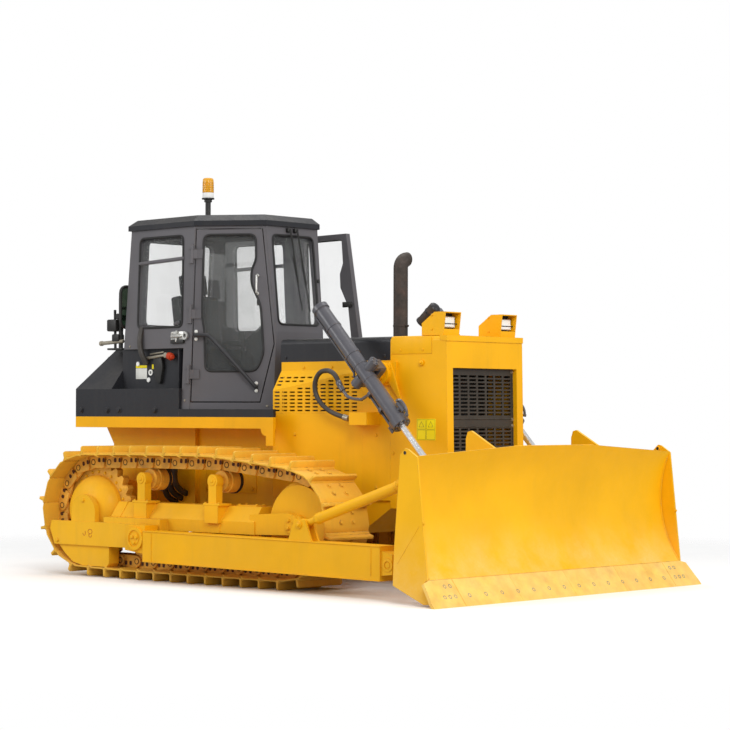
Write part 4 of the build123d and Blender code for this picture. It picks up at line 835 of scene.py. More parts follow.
@dataclass
class Stage:
    """Pale floor, even white surroundings, soft lamps and the photograph's camera."""

    place: Vector = field(default_factory=lambda: by(13.317, -14.427, 1.396))
    heading: float = radians(41.884)
    pitch: float = radians(1.1766)
    roll: float = radians(0.14)
    lens: float = 115.24
    sensor: float = 36.0
    floor_radius: float = 14.0

    def floor(self) -> Piece:
        """Lay the round floor under the tracks."""
        deselect()
        bpy.ops.mesh.primitive_circle_add(vertices=96, radius=self.floor_radius, fill_type="NGON")
        floor = settle(bpy.context.object, "floor")
        net = Surface("pale_floor", (253, 253, 252))
        pale = net.blend(net.span(net.noise(1.5, 5.0), 0.3, 0.7), shade(253, 253, 252), shade(250, 250, 250))
        seen = net.node("LightPath").outputs["Is Camera Ray"]
        middle = net.tree.nodes.new("ShaderNodeVectorMath")
        middle.operation = "LENGTH"
        net.feed(middle.inputs[0], net.place())
        net.set(Base_Color=net.blend(seen, shade(196, 194, 190), pale), Roughness=1.0, Specular_IOR_Level=0.0,
                Alpha=net.span(middle.outputs["Value"], 3.6, 8.0, 1.0, 0.0))
        floor.data.materials.append(net.material)
        return floor

    def surroundings(self) -> None:
        """Fill the world with white, plain where the camera sees it and softer where it lights."""
        world = bpy.data.worlds.new("white")
        bpy.context.scene.world = world
        world.use_nodes = True
        tree = world.node_tree
        net = Wiring(tree)
        lit = tree.nodes["Background"]
        lit.inputs["Color"].default_value = (1, 1, 1, 1)
        lit.inputs["Strength"].default_value = 0.52
        seen = net.node("Background", Color=(1, 1, 1, 1), Strength=1.0)
        ray = net.node("LightPath")
        mix = tree.nodes.new("ShaderNodeMixShader")
        net.feed(mix.inputs[0], ray.outputs["Is Camera Ray"])
        net.feed(mix.inputs[1], lit.outputs["Background"])
        net.feed(mix.inputs[2], seen.outputs["Background"])
        net.feed(tree.nodes["World Output"].inputs["Surface"], mix.outputs["Shader"])

    def lamp(self, name: str, place: Vector, target: Vector, size: float, power: float,
             tint: tuple[float, float, float] = (1.0, 1.0, 1.0)) -> Piece:
        """Hang one soft square lamp that looks at a target."""
        deselect()
        bpy.ops.object.light_add(type="AREA", location=place)
        lamp = bpy.context.object
        lamp.name = name
        lamp.data.size = size
        lamp.data.energy = power
        lamp.data.color = tint
        lamp.rotation_euler = (target - place).to_track_quat("-Z", "Y").to_euler()
        return lamp

    def camera(self) -> Piece:
        """Set the camera where the photograph was taken from."""
        deselect()
        bpy.ops.object.camera_add()
        camera = bpy.context.object
        camera.name = "photograph"
        camera.matrix_world = (Matrix.Translation(self.place) @ Matrix.Rotation(self.heading, 4, "Z")
                               @ Matrix.Rotation(pi / 2 + self.pitch, 4, "X")
                               @ Matrix.Rotation(self.roll, 4, "Z"))
        camera.data.lens = self.lens
        camera.data.sensor_width = self.sensor
        camera.data.clip_end = 200
        bpy.context.scene.camera = camera
        return camera

    def build(self) -> None:
        """Put the whole stage up."""
        centre = by(0.3, 0, 1.2)
        pieces = [self.floor(), self.camera(),
                  self.lamp("key", by(8.5, -7.0, 8.0), centre, 5.0, 640, (1.0, 0.985, 0.96)),
                  self.lamp("side", by(-6.0, -9.0, 6.0), centre, 5.0, 330),
                  self.lamp("front", by(10.0, 2.0, 5.0), centre, 5.0, 300),
                  self.lamp("above", by(-1.0, 1.0, 8.5), centre, 6.0, 300)]
        self.surroundings()


# The running gear

BELT = ((0.0, 0.56, 0.4085), (0.705, 0.839, 0.138), (1.552, 0.839, 0.138), (2.421, 0.516, 0.375),
        (1.99, 0.291, 0.15), (0.59, 0.291, 0.15))


def belt_points(count: int) -> list[tuple[float, float]]:
    """Give the places of the chain's pins, at equal steps from the sprocket forward along the top.

    Args:
        count: How many pins the chain has.

    Returns:
        Places as (ahead of the axle, height).
    """
    spans, pieces = [], []
    for here, there in zip(BELT, BELT[1:] + BELT[:1]):
        run_x, run_z = there[0] - here[0], there[1] - here[1]
        out = atan2(run_z, run_x) + pi / 2 - asin((here[2] - there[2]) / hypot(run_x, run_z))
        spans.append([(spot[0] + spot[2] * cos(out), spot[1] + spot[2] * sin(out)) for spot in (here, there)])
    for number, (start, end) in enumerate(spans):
        circle = BELT[(number + 1) % len(BELT)]
        after = spans[(number + 1) % len(spans)][0]
        first = atan2(end[1] - circle[1], end[0] - circle[0])
        last = atan2(after[1] - circle[1], after[0] - circle[0])
        pieces.append((start, end, None, dist(start, end)))
        pieces.append((circle, first, circle[2], (first - last) % tau * circle[2]))
    step = sum(piece[3] for piece in pieces) / count
    points = []
    for number in range(count):
        along = number * step
        for one, two, radius, length in pieces:
            if along < length:
                break
            along -= length
        if radius is None:
            share = along / length
            points.append((one[0] + share * (two[0] - one[0]), one[1] + share * (two[1] - one[1])))
        else:
            angle = two - along / radius
            points.append((one[0] + radius * cos(angle), one[1] + radius * sin(angle)))
    return points


@dataclass
class Assembly:
    """A group of trim pieces that ride on one body."""

    body: str = "chassis"
    slot: str = "yellow_paint"

    def add(self, name: str, pieces: Piece | list[Piece], finish: str,
            slot: str = "", body: str = "") -> Piece:
        """Join new pieces under one name, finish them and let them ride on this assembly's body or another.

        Args:
            name: The name of the joined piece.
            pieces: One piece or several.
            finish: The name of its finish.
            slot: The record's slot, where it isn't this assembly's own.
            body: The body, where it isn't this assembly's own.

        Returns:
            The joined piece.
        """
        whole = join(pieces if isinstance(pieces, list) else [pieces], name)
        return fit(whole, finish, body or self.body, slot or self.slot)

    def bolt(self, name: str, kind: Bolt, places: Iterable[tuple[Vector, Vector]], finish: str,
             slot: str = "", body: str = "") -> Piece:
        """Set heads of one kind on a surface, each at a point with the way out."""
        heads = repeat(bolt_master(kind), [turned(point, out) for point, out in places])
        return self.add(name, heads, finish, slot, body)

    def build(self) -> None:
        """Make the pieces."""
        raise NotImplementedError


@dataclass
class Pair(Assembly):
    """Trim that the right and the left side both have."""

    def build(self) -> None:
        """Dress both sides."""
        for hand, side in SIDES:
            self.build_side(hand, side)

    def build_side(self, hand: str, side: int) -> None:
        """Dress one side."""
        raise NotImplementedError


@dataclass
class TrackChain(Pair):
    """The tracks: shoes with their grousers and bolts, and the links, bushings and pins under them."""

    slot: str = "track_steel"
    count: int = 36
    centre: float = 0.94
    half_width: float = 0.255
    half_shoe: float = 0.0995

    def places(self, side: int) -> list[Matrix]:
        """Give each shoe's matrix: X along the run, Z out of the belt."""
        pins = belt_points(self.count)
        result = []
        for number, (x, z) in enumerate(pins):
            after = pins[(number + 1) % self.count]
            along = by(after[0] - x, 0, after[1] - z).normalized()
            middle = at((x + after[0]) / 2, side * self.centre, (z + after[1]) / 2)
            out = along.cross(LEFT)
            result.append(Matrix.Translation(middle) @ Matrix((along, LEFT, out)).transposed().to_4x4())
        return result

    def shoe(self) -> Piece:
        """Model one shoe: plate, tapered grouser with trimmed ends and a stiff rib."""
        half, half_wide = self.half_shoe, self.half_width
        plate = outline_plate([(-half, 0.061), (half - 0.014, 0.061), (half + 0.034, 0.046),
                               (half + 0.035, 0.055), (half - 0.006, 0.074), (-half, 0.074)],
                              2 * half_wide, by(0, half_wide, 0))
        tall = [(-half_wide, 0.07), (half_wide, 0.07), (half_wide, 0.128), (half_wide - 0.014, 0.141),
                (0.014 - half_wide, 0.141), (-half_wide, 0.128)]
        grouser = outline_plate(tall, 0.024, by(-0.0855, 0, 0), LEFT, edge=0.005)
        foot = outline_plate([(-0.0985, 0.072), (-0.046, 0.072), (-0.062, 0.088), (-0.088, 0.088)],
                             2 * half_wide - 0.01, by(0, half_wide - 0.005, 0), edge=0.002)
        return join([plate, grouser, foot])

    def link(self) -> Piece:
        """Model one pair of cranked links with their bushing and pin."""
        parts = []
        for rail in (-1, 1):
            for end, low, high in ((-1, 0.072, 0.091), (1, 0.051, 0.073)):
                pin_x = end * 0.1015
                outline = [(pin_x + 0.044 * sin(turn) * end, -0.044 * cos(turn))
                           for turn in (step * pi / 8 for step in range(1, 8))]
                outline += [(pin_x, 0.05), (pin_x - end * 0.03, 0.0605), (-end * 0.034, 0.0605),
                            (-end * 0.034, -0.03), (-end * 0.02, -0.049), (pin_x - end * 0.01, -0.049)]
                start = max(rail * low, rail * high)
                parts.append(outline_plate(outline, high - low, by(0, start, 0)))
        pin = by(0.1015, 0, 0)
        parts.append(rod(pin - by(0, 0.05, 0), pin + by(0, 0.05, 0), 0.026, 16, 0))
        parts.append(rod(pin - by(0, 0.094, 0), pin + by(0, 0.094, 0), 0.02, 14, 0.002))
        return join(parts)

    def eye(self) -> Piece:
        """Model dark plates in the windows over the bolts, on the outer faces of one pair of links, and dark
        rings at the pin ends: painted shade of those openings.
        """
        shape = rounded([(-0.016, -0.018), (0.016, -0.018), (0.013, 0.018), (-0.013, 0.018)], 0.012, 3)
        parts = []
        for face in (-0.0915, 0.0735, -0.0715, 0.093):
            for middle in (-0.026, 0.03):
                parts.append(outline_plate(shape, 0.0015, by(middle, face, 0.018), edge=0))
        for end in (-0.0945, 0.0945):
            parts.append(lathe([(0.02, -0.001), (0.0255, -0.001), (0.0255, 0.001), (0.02, 0.001)],
                               by(0.1015, end, 0), LEFT, 14))
        return join(parts)

    def bolt_places(self, places: Sequence[Matrix]) -> list[Matrix]:
        """Give the four bolts of every shoe."""
        spots = [by(x, y, 0.074) for x in (-0.018, 0.06) for y in (-0.071, 0.071)]
        return [place @ Matrix.Translation(spot) for place in places for spot in spots]

    def build_side(self, hand: str, side: int) -> None:
        """Replace one plain track."""
        places = self.places(side)
        shoes = self.add(f"{hand}_shoes", repeat(self.shoe(), places), "shoe_enamel")
        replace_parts(shoes, f"track_{hand}")
        self.add(f"{hand}_links", repeat(self.link(), places), "link_metal")
        # The link windows and pin ends get dark plates and rings as painted shade.
        self.add(f"{hand}_link_eyes", repeat(self.eye(), places), "hollow_shade_and_grime")
        self.add(f"{hand}_shoe_bolts", repeat(bolt_master(Bolt.TRACK), self.bolt_places(places)),
                 "shoe_enamel")


def both(point: Vector, side: int) -> Vector:
    """Put a point given for the left side on one of the two sides."""
    return by(point.x, point.y * side, point.z)


def ring(centre: Vector, radius: float, count: int, out: Vector,
         start: float = 0.0) -> list[tuple[Vector, Vector]]:
    """Give evenly spaced places round a circle that faces sideways."""
    return [(centre + by(cos(turn), 0, sin(turn)) * radius, out)
            for turn in (start + tau * number / count for number in range(count))]


@dataclass
class RunningGear(Pair):
    """Bolts, caps, covers and weld seams of the track frames, rollers and drives."""

    roller_places: tuple[float, ...] = tuple(0.59 + number * 0.28 for number in range(6))
    carrier_places: tuple[float, ...] = (0.705, 1.552)

    def build_side(self, hand: str, side: int) -> None:
        """Dress one side."""
        out = by(0, side, 0)
        large = ring(at(0, side * 0.9725, 0.56), 0.326, 25, out, 0.06)
        self.bolt(f"{hand}_sprocket_bolts", Bolt.PANEL, large, "running_enamel", "track_steel")
        heads = [(at(0.055, side * 1.199, 0.648), out)]
        heads += [(at(x, side * 1.13, 0.842), out) for x in self.carrier_places]
        heads += [(at(x, side * 1.203, 0.3), out) for x in (-0.27, 0.66)]
        heads += ring(at(2.421, side * 1.112, 0.516), 0.045, 4, out, 0.7)
        self.bolt(f"{hand}_frame_bolts", Bolt.MEDIUM, heads, "running_enamel")
        caps = [rod(at(x, side * 1.084, 0.291), at(x, side * 1.104, 0.291), 0.042, 28, 0.004)
                for x in self.roller_places]
        caps.append(rod(at(2.421, side * 1.099, 0.516), at(2.421, side * 1.112, 0.516), 0.075, 32))
        for x in self.carrier_places:
            caps.append(rod(at(x, side * 1.128, 0.839), at(x, side * 1.136, 0.839), 0.036, 28))
            caps.append(block(at(x - 0.095, side, 0.64), at(x + 0.095, side * 1.146, 0.66)))
        caps.append(block(at(1.7, side * 0.88, 0.638), at(1.93, side, 0.65), 0.003))
        for x in (0.43, 1.62):
            fold = [at(x, side * y, z) for y, z in ((1.112, 0.43), (1.112, 0.521), (1.022, 0.6425),
                                                    (0.858, 0.6425), (0.768, 0.521))]
            caps.append(pipe(fold, 0.004, straight=True))
        self.add(f"{hand}_frame_caps", caps, "running_enamel")
        small = [(at(x, side * 1.104, 0.291 + shift), out) for x in self.roller_places
                 for shift in (-0.024, 0.024)]
        small += [(at(x, side * y, 0.65), UP) for x in (1.72, 1.91) for y in (0.9, 0.98)]
        small += [(at(x + shift, side * 1.13, 0.66), UP) for x in self.carrier_places
                  for shift in (-0.078, 0.078)]
        self.bolt(f"{hand}_roller_bolts", Bolt.PANEL, small, "running_enamel")

    def build_seals(self) -> None:
        """Put the dark seal ring on each carrier roller."""
        seals = [lathe([(0.06, -0.012), (0.1045, -0.012), (0.1045, 0.012), (0.06, 0.012)],
                       at(x, side * 0.885, 0.839), LEFT, 36)
                 for _, side in SIDES for x in self.carrier_places]
        self.add("carrier_seals", seals, "gasket_rubber", "track_steel")

    def build_marks(self) -> None:
        """Daub the faded red marks on the right outer bar."""
        face = at(0.0, -1.2035, 0.0)
        loops = []
        for x, z, wide, tall, start, sweep in ((0.075, 0.372, 0.016, 0.022, 3.2, 3.9),
                                               (0.15, 0.385, 0.026, 0.02, 0, 6.2),
                                               (0.152, 0.352, 0.018, 0.014, 2.2, 4.4)):
            turns = (start + sweep * step / 14 for step in range(15))
            line = [face + by(x + wide * cos(turn), 0, z + tall * sin(turn)) for turn in turns]
            loops.append(pipe(line, 0.0022))
        self.add("right_bar_marks", loops, "faded_red")

    def build_hoses(self) -> None:
        """Hang the dark hydraulic pipes between the hull and the drive."""
        runs = []
        for x, low in ((0.5, 0.66), (0.56, 0.7), (0.62, 0.74)):
            for side in (-1, 1):
                path = [at(x, side * 0.5, low + 0.3), at(x, side * 0.6, low + 0.28),
                        at(x - 0.02, side * 0.66, low + 0.16), at(x - 0.03, side * 0.62, low),
                        at(x - 0.03, side * 0.49, low - 0.04)]
                runs.append(pipe(path, 0.026, sides=4))
        self.add("drive_hoses", runs, "hose_rubber", "hose_rubber")

    def build(self) -> None:
        """Dress both sides, then add what the right side or both share."""
        super().build()
        self.build_marks()
        self.build_seals()
        self.build_hoses()


# The upper works


@dataclass
class RearBox(Assembly):
    """Bolts of the dark box behind the cab, and the fittings on its recessed walls."""

    slot: str = "cab_paint"
    wall: float = 0.59

    def build(self) -> None:
        """Make the box's trim."""
        heads = [(at(x, side * 0.72, 1.416), by(0, side, 0))
                 for side in (-1, 1) for x in (-0.519, -0.176, -0.027, 0.431)]
        heads += [(at(-0.595, y, 1.416), -AHEAD) for y in (-0.5, -0.18, 0.18, 0.5)]
        self.bolt("box_bolts", Bolt.LARGE, heads, "charcoal_enamel")
        self.build_fillers()
        self.build_labels()
        self.build_bracket()

    def disc(self, x: float, z: float, radius: float, thick: float) -> Piece:
        """Make a round cap that stands on the right recessed wall."""
        return rod(at(x, -self.wall, z), at(x, -self.wall - thick, z), radius, 24, 0.003)

    def build_fillers(self) -> None:
        """Make the filler neck, its red cap, the pipes and the flap."""
        pieces = [self.disc(0.214, 1.678, 0.021, 0.012), self.disc(0.08, 1.818, 0.02, 0.014),
                  lathe([(0.013, 0), (0.026, 0), (0.026, 0.008), (0.013, 0.008)],
                        at(0.239, -self.wall, 1.742), -LEFT, 24)]
        self.add("box_caps", pieces, "white_plastic")
        leaf = rounded([(0.3, 1.895), (0.392, 1.9), (0.42, 1.79), (0.385, 1.64), (0.335, 1.655),
                        (0.305, 1.76)], 0.03, 3)
        flap = outline_plate(leaf, 0.034, at(0, -self.wall, 0), edge=0.008)
        self.add("box_flap", flap, "lamp_black")
        neck = [pipe([at(0.2, -0.6, 1.868), at(0.3, -0.625, 1.872), at(0.42, -0.63, 1.886),
                      at(0.5, -0.625, 1.89)], 0.013, sides=4),
                pipe([at(0.24, -0.6, 1.9), at(0.33, -0.64, 1.905), at(0.45, -0.64, 1.915)], 0.007),
                rod(at(0.475, -0.59, 1.888), at(0.475, -0.65, 1.888), 0.024, 20, 0.004)]
        self.add("box_pipes", neck, "bolt_metal")
        knob = [rod(at(0.5, -0.625, 1.884), at(0.552, -0.645, 1.872), 0.032, 20, 0.008),
                rod(at(0.548, -0.64, 1.874), at(0.575, -0.65, 1.868), 0.02, 16, 0.006)]
        self.add("box_red_cap", knob, "cap_red")
        drain = pipe([at(0.15, -0.612, 2.13), at(0.152, -0.645, 2.06), at(0.16, -0.65, 1.96),
                      at(0.186, -0.645, 1.88), at(0.205, -0.612, 1.815)], 0.024, sides=5)
        self.add("box_hose", drain, "hose_rubber")
        upright = block(at(0.628, -0.64, 1.602), at(0.64, -0.589, 1.94), 0.003)
        self.add("box_upright", upright, "charcoal_enamel")

    def build_labels(self) -> None:
        """Put up two blank labels."""
        front = -self.wall
        self.add("box_label", block(at(0.047, front - 0.002, 1.686), at(0.188, front, 1.78), 0.001),
                 "label_white")
        strips = [block(at(0.047, front - 0.002, 1.782), at(0.188, front, 1.806), 0.001),
                  block(at(0.251, front - 0.002, 1.772), at(0.338, front, 1.812), 0.001)]
        self.add("box_strips", strips, "label_yellow")

    def build_bracket(self) -> None:
        """Stand the work lamp, the mirror and the short pipe behind the cab's right rear corner."""
        posts = [rod(at(-0.2, -0.545, 1.95), at(-0.2, -0.545, 2.4), 0.02, 20),
                 rod(at(-0.255, -0.56, 1.95), at(-0.262, -0.56, 2.3), 0.012, 16),
                 block(at(-0.33, -0.6, 2.11), at(-0.21, -0.5, 2.215), 0.012),
                 block(at(-0.28, -0.585, 2.02), at(-0.19, -0.51, 2.085), 0.01),
                 rod(at(-0.2, -0.59, 2.24), at(-0.2, -0.49, 2.24), 0.026, 20, 0.004),
                 block(at(-0.215, -0.56, 2.3), at(-0.09, -0.53, 2.325), 0.005),
                 block(at(-0.32, -0.6, 1.945), at(-0.13, -0.47, 1.962), 0.004)]
        self.add("rear_lamp", posts, "lamp_black")
        lens = block(at(-0.334, -0.59, 2.12), at(-0.326, -0.51, 2.205), 0.003)
        self.add("rear_lens", lens, "lamp_lens")
        oval = rounded([(-0.625, 2.14), (-0.47, 2.14), (-0.47, 2.5), (-0.625, 2.5)], 0.07, 5)
        frame = pipe([at(-0.12, y, z) for y, z in oval], 0.014, closed=True, sides=4)
        self.add("mirror_frame", frame, "lamp_black")
        glass = outline_plate(oval, 0.006, at(-0.123, 0, 0), LEFT, edge=0.001)
        self.add("mirror_glass", glass, "mirror_green")
        spout = [rod(at(-0.445, -0.56, 2.006), at(-0.15, -0.56, 2.022), 0.017, 20, 0.003),
                 rod(at(-0.45, -0.56, 2.0055), at(-0.425, -0.56, 2.007), 0.022)]
        self.add("rear_pipe", spout, "bolt_metal")


CAB_CORNERS = {1.425: ((-0.115, 0.627), (0.832, 0.7), (1.447, 0.316)),
               2.08: ((-0.087, 0.6), (0.835, 0.672), (1.451, 0.287)),
               2.98: ((-0.035, 0.572), (0.834, 0.64), (1.355, 0.314))}
DOOR_WINDOW = ((0.118, 1.746), (0.56, 1.746), (0.622, 1.893), (0.59, 2.31), (0.508, 2.48), (0.508, 2.6),
               (0.548, 2.69), (0.542, 2.903), (0.092, 2.903), (0.084, 2.212), (0.106, 2.1))
REAR_SIDE_WINDOW = ((0.178, 2.127), (0.79, 2.127), (0.77, 2.908), (0.178, 2.908))


@dataclass(frozen=True)
class Wall:
    """One leaning wall of the cab between two corners, each a number from the rear and a side."""

    start: tuple[int, int]
    end: tuple[int, int]
    outward: int

    @staticmethod
    def corner(which: tuple[int, int], height: float) -> Vector:
        """Give a corner's place at a height."""
        low, high = (1.425, 2.08) if height < 2.08 else (2.08, 2.98)
        share = (height - low) / (high - low)
        one, two = CAB_CORNERS[low][which[0]], CAB_CORNERS[high][which[0]]
        return at(one[0] + share * (two[0] - one[0]), which[1] * (one[1] + share * (two[1] - one[1])), height)

    def spot(self, across: float, height: float, out: float = 0.0) -> Vector:
        """Give a place on the wall.

        Args:
            across: The distance from the first corner at the knee, along the wall.
            height: The height over the ground.
            out: How far it stands out of the face.

        Returns:
            The place.
        """
        knee = self.corner(self.start, 2.08)
        run = (self.corner(self.end, 2.08) - knee).normalized()
        first, last = self.corner(self.start, height), self.corner(self.end, height)
        share = (across - (first - knee).dot(run)) / (last - first).dot(run)
        return first.lerp(last, share) + self.out(height) * out

    def out(self, height: float) -> Vector:
        """Give the direction out of the wall at a height."""
        low, high = (1.5, 2.0) if height < 2.08 else (2.2, 2.9)
        first = self.corner(self.start, low)
        run = self.corner(self.end, low) - first
        return (run.cross(self.corner(self.start, high) - first) * self.outward).normalized()

    def gasket(self, outline: Sequence[Point], corner: float) -> Piece:
        """Run a rubber profile round a window."""
        line = [self.spot(across, height, 0.001) for across, height in rounded(outline, corner, 5)]
        return pipe(line, 0.01, closed=True, sides=2, straight=True)


def rear_wall(side: int) -> Wall:
    """Give the side wall behind the door."""
    return Wall((0, side), (1, side), -side)


def door_wall(side: int) -> Wall:
    """Give the wall that the door closes."""
    return Wall((1, side), (2, side), -side)


FRONT_WALL = Wall((2, -1), (2, 1), 1)
BACK_WALL = Wall((0, 1), (0, -1), 1)
DOOR_HINGE = Vector((-0.988, 0.726, 1.425))
DOOR_AXIS = Vector((0.00129, -0.03856, 0.99926))
DOOR_OPEN = radians(33)


@dataclass
class Cab(Assembly):
    """Gaskets, rails, wipers, latches and the roof's fittings."""

    slot: str = "cab_paint"

    def build(self) -> None:
        """Make the cab's trim."""
        seals = [rear_wall(side).gasket(REAR_SIDE_WINDOW, 0.055) for side in (-1, 1)]
        seals += [FRONT_WALL.gasket([(0.037, 2.144), (0.537, 2.144), (0.537, 2.905), (0.037, 2.905)], 0.055),
                  BACK_WALL.gasket([(0.2, 2.16), (1.0, 2.16), (1.0, 2.9), (0.2, 2.9)], 0.055)]
        self.add("cab_seals", seals, "gasket_rubber")
        self.build_bars()
        self.build_latch()
        self.build_wipers()
        self.build_roof()
        door, rear = door_wall(-1), rear_wall(-1)
        heads = [(door.spot(0.655, 1.452), door.out(1.5)), (rear.spot(0.08, 1.97), rear.out(1.9)),
                 (rear.spot(0.86, 1.5), rear.out(1.5))]
        self.bolt("cab_bolts", Bolt.SMALL, heads, "bolt_metal")

    def build_bars(self) -> None:
        """Lay the bar across each rear side window and the weld strips along the cab's corners."""
        pieces = []
        for side in (-1, 1):
            spot = rear_wall(side).spot
            pieces.append(rod(spot(0.17, 2.69, -0.004), spot(0.79, 2.712, -0.004), 0.017, 12, 0))
            pieces.append(rod(spot(0.69, 2.15, 0.004), spot(0.74, 2.165, 0.004), 0.016, 12))
        for side in (-1, 1):
            for number in (1, 2):
                line = [Wall.corner((number, side), height) for height in (1.43, 2.08, 2.975)]
                pieces.append(pipe(line, 0.004, straight=True))
        self.add("cab_bars", pieces, "cab_enamel")

    def build_latch(self) -> None:
        """Make the bright door stay at the foot of the right rear window."""
        wall = rear_wall(-1)
        spot, out = wall.spot, wall.out(2.05)
        along = (spot(0.9, 2.05) - spot(0.2, 2.05)).normalized()
        base = outline_plate(rounded([(-0.09, -0.044), (0.1, -0.044), (0.1, 0.042), (-0.09, 0.042)], 0.014),
                             0.005, spot(0.735, 2.045), along, edge=0.001)
        pieces = [base, rod(spot(0.675, 2.045, 0.022), spot(0.815, 2.047, 0.022), 0.014, 16),
                  rod(spot(0.735, 1.998, 0.016), spot(0.735, 2.094, 0.016), 0.011, 14),
                  lathe([(0.018, -0.007), (0.034, -0.007), (0.034, 0.007), (0.018, 0.007)],
                        spot(0.855, 2.048, 0.02), out, 24),
                  block(by(-0.018, -0.006, -0.008), by(0.018, 0.006, 0.008), 0.003)]
        pieces[-1].data.transform(turned(spot(0.812, 2.048, 0.02), out, along))
        self.add("stay_latch", pieces, "bright_steel")
        heads = [(spot(0.735 + across, 2.045 + rise, 0.005), out) for across in (-0.074, 0.0, 0.084)
                 for rise in (-0.031, 0.031)]
        self.bolt("latch_bolts", Bolt.SMALL, heads, "bright_steel")
        plinth = block(by(-0.085, -0.016, -0.012), by(0.085, 0.016, 0.012), 0.005)
        plinth.data.transform(turned(spot(0.745, 2.0, 0.01), out, along))
        self.add("latch_plinth", plinth, "lamp_black")

    def build_wipers(self) -> None:
        """Make the windshield's two wipers."""
        pieces, spot = [], FRONT_WALL.spot
        for pivot, tip in ((0.231, 0.3), (0.316, 0.395)):
            top, foot = spot(pivot, 2.945, 0.03), spot(tip, 2.5, 0.02)
            pieces.append(block(by(-0.022, -0.018, -0.028), by(0.022, 0.018, 0.004), 0.005))
            pieces[-1].data.transform(turned(spot(pivot, 2.95, 0.026), FRONT_WALL.out(2.9)))
            pieces.append(rod(spot(pivot, 2.945, -0.002), top, 0.012, 16))
            pieces.append(rod(top, foot, 0.005, 10, 0))
            pieces.append(rod(spot(pivot + 0.016, 2.935, 0.028), foot, 0.0035, 8, 0))
            blade_top, blade_foot = spot(tip - 0.04, 2.73, 0.014), spot(tip + 0.03, 2.26, 0.014)
            pieces.append(rod(blade_top, blade_foot, 0.006, 8, 0))
            pieces.append(rod(foot - by(0.004, 0, 0.02), foot + by(0, 0, 0.02), 0.009, 10, 0))
        pieces.append(rod(spot(0.56, 2.53, -0.003), spot(0.56, 2.53, 0.016), 0.016, 16))
        self.add("wipers", pieces, "lamp_black")

    def build_roof(self) -> None:
        """Put the vent dome, the long plate behind it and the beacon's foot plate on the roof."""
        dome = lathe([(0, 0), (0.055, 0), (0.055, 0.012), (0.047, 0.034), (0.026, 0.048), (0, 0.052)],
                     at(0.56, -0.09, 3.073), UP, 32)
        self.add("roof_dome", dome, "lamp_black")
        plates = [block(at(0.1, -0.3, 3.0745), at(0.22, 0.3, 3.08), 0.002),
                  rod(at(0.332, 0, 3.074), at(0.332, 0, 3.092), 0.04, 28, 0.003)]
        self.add("roof_plates", plates, "black_enamel")


@dataclass
class Door(Pair):
    """Trim of the doors: gasket, handle, lock and rail."""

    slot: str = "cab_paint"

    def add(self, name: str, pieces: Piece | list[Piece], finish: str,
            slot: str = "", body: str = "") -> Piece:
        """Add pieces that were made on the shut door, the left door's turned to where it stands."""
        whole = join(pieces if isinstance(pieces, list) else [pieces])
        if body == "door_left":
            turn = Matrix.Rotation(DOOR_OPEN, 4, DOOR_AXIS)
            whole.data.transform(Matrix.Translation(DOOR_HINGE) @ turn @ Matrix.Translation(-DOOR_HINGE))
        return super().add(name, whole, finish, slot, body)

    def build_side(self, hand: str, side: int) -> None:
        """Make one door's pieces, shut."""
        body, wall = f"door_{hand}", door_wall(side)
        spot, out = wall.spot, wall.out(2.3)
        self.add(f"{hand}_door_seal", wall.gasket(DOOR_WINDOW, 0.06), "gasket_rubber", body=body)
        grip = [spot(0.56, 2.402, 0.002), spot(0.56, 2.402, 0.034), spot(0.561, 2.42, 0.04),
                spot(0.561, 2.535, 0.04), spot(0.56, 2.553, 0.034), spot(0.56, 2.553, 0.002)]
        bright = [pipe(grip, 0.008)]
        bright += [rod(spot(0.56, height), spot(0.56, height, 0.008), 0.015, 20) for height in (2.402, 2.553)]
        self.add(f"{hand}_door_handle", bright, "bright_steel", body=body)
        lock = [block(by(-0.045, -0.024, -0.025), by(0.045, 0.024, 0.0), 0.005),
                block(by(0.04, -0.01, -0.02), by(0.062, 0.01, -0.008), 0.003)]
        along = (spot(0.6, 2.4) - spot(0.2, 2.4)).normalized()
        for piece in lock:
            piece.data.transform(turned(spot(0.59, 2.33, -0.052), out, along))
        self.add(f"{hand}_door_lock", lock, "lamp_black", body=body)
        rail = [spot(0.03, 2.05, 0.045), spot(0.09, 2.05, 0.052), spot(0.15, 2.048, 0.054),
                spot(0.185, 2.02, 0.054), spot(0.54, 1.64, 0.05), spot(0.56, 1.612, 0.034)]
        tube = [pipe(rail, 0.017, sides=4),
                rod(spot(0.036, 2.05), spot(0.036, 2.05, 0.05), 0.014, 18),
                rod(spot(0.56, 1.614), spot(0.56, 1.614, 0.042), 0.014, 18)]
        for across, height in ((0.036, 2.05), (0.562, 1.612)):
            tube.append(block(by(-0.015, -0.042, 0), by(0.015, 0.042, 0.006), 0.002))
            tube[-1].data.transform(turned(spot(across, height), wall.out(height), along))
        self.add(f"{hand}_grab_rail", tube, "rail_enamel", body=body)
        heads = [(spot(across, height + rise, 0.006), wall.out(height)) for across, height in
                 ((0.036, 2.05), (0.562, 1.612)) for rise in (-0.032, 0.032)]
        self.bolt(f"{hand}_rail_bolts", Bolt.PANEL, heads, "white_plastic", body=body)


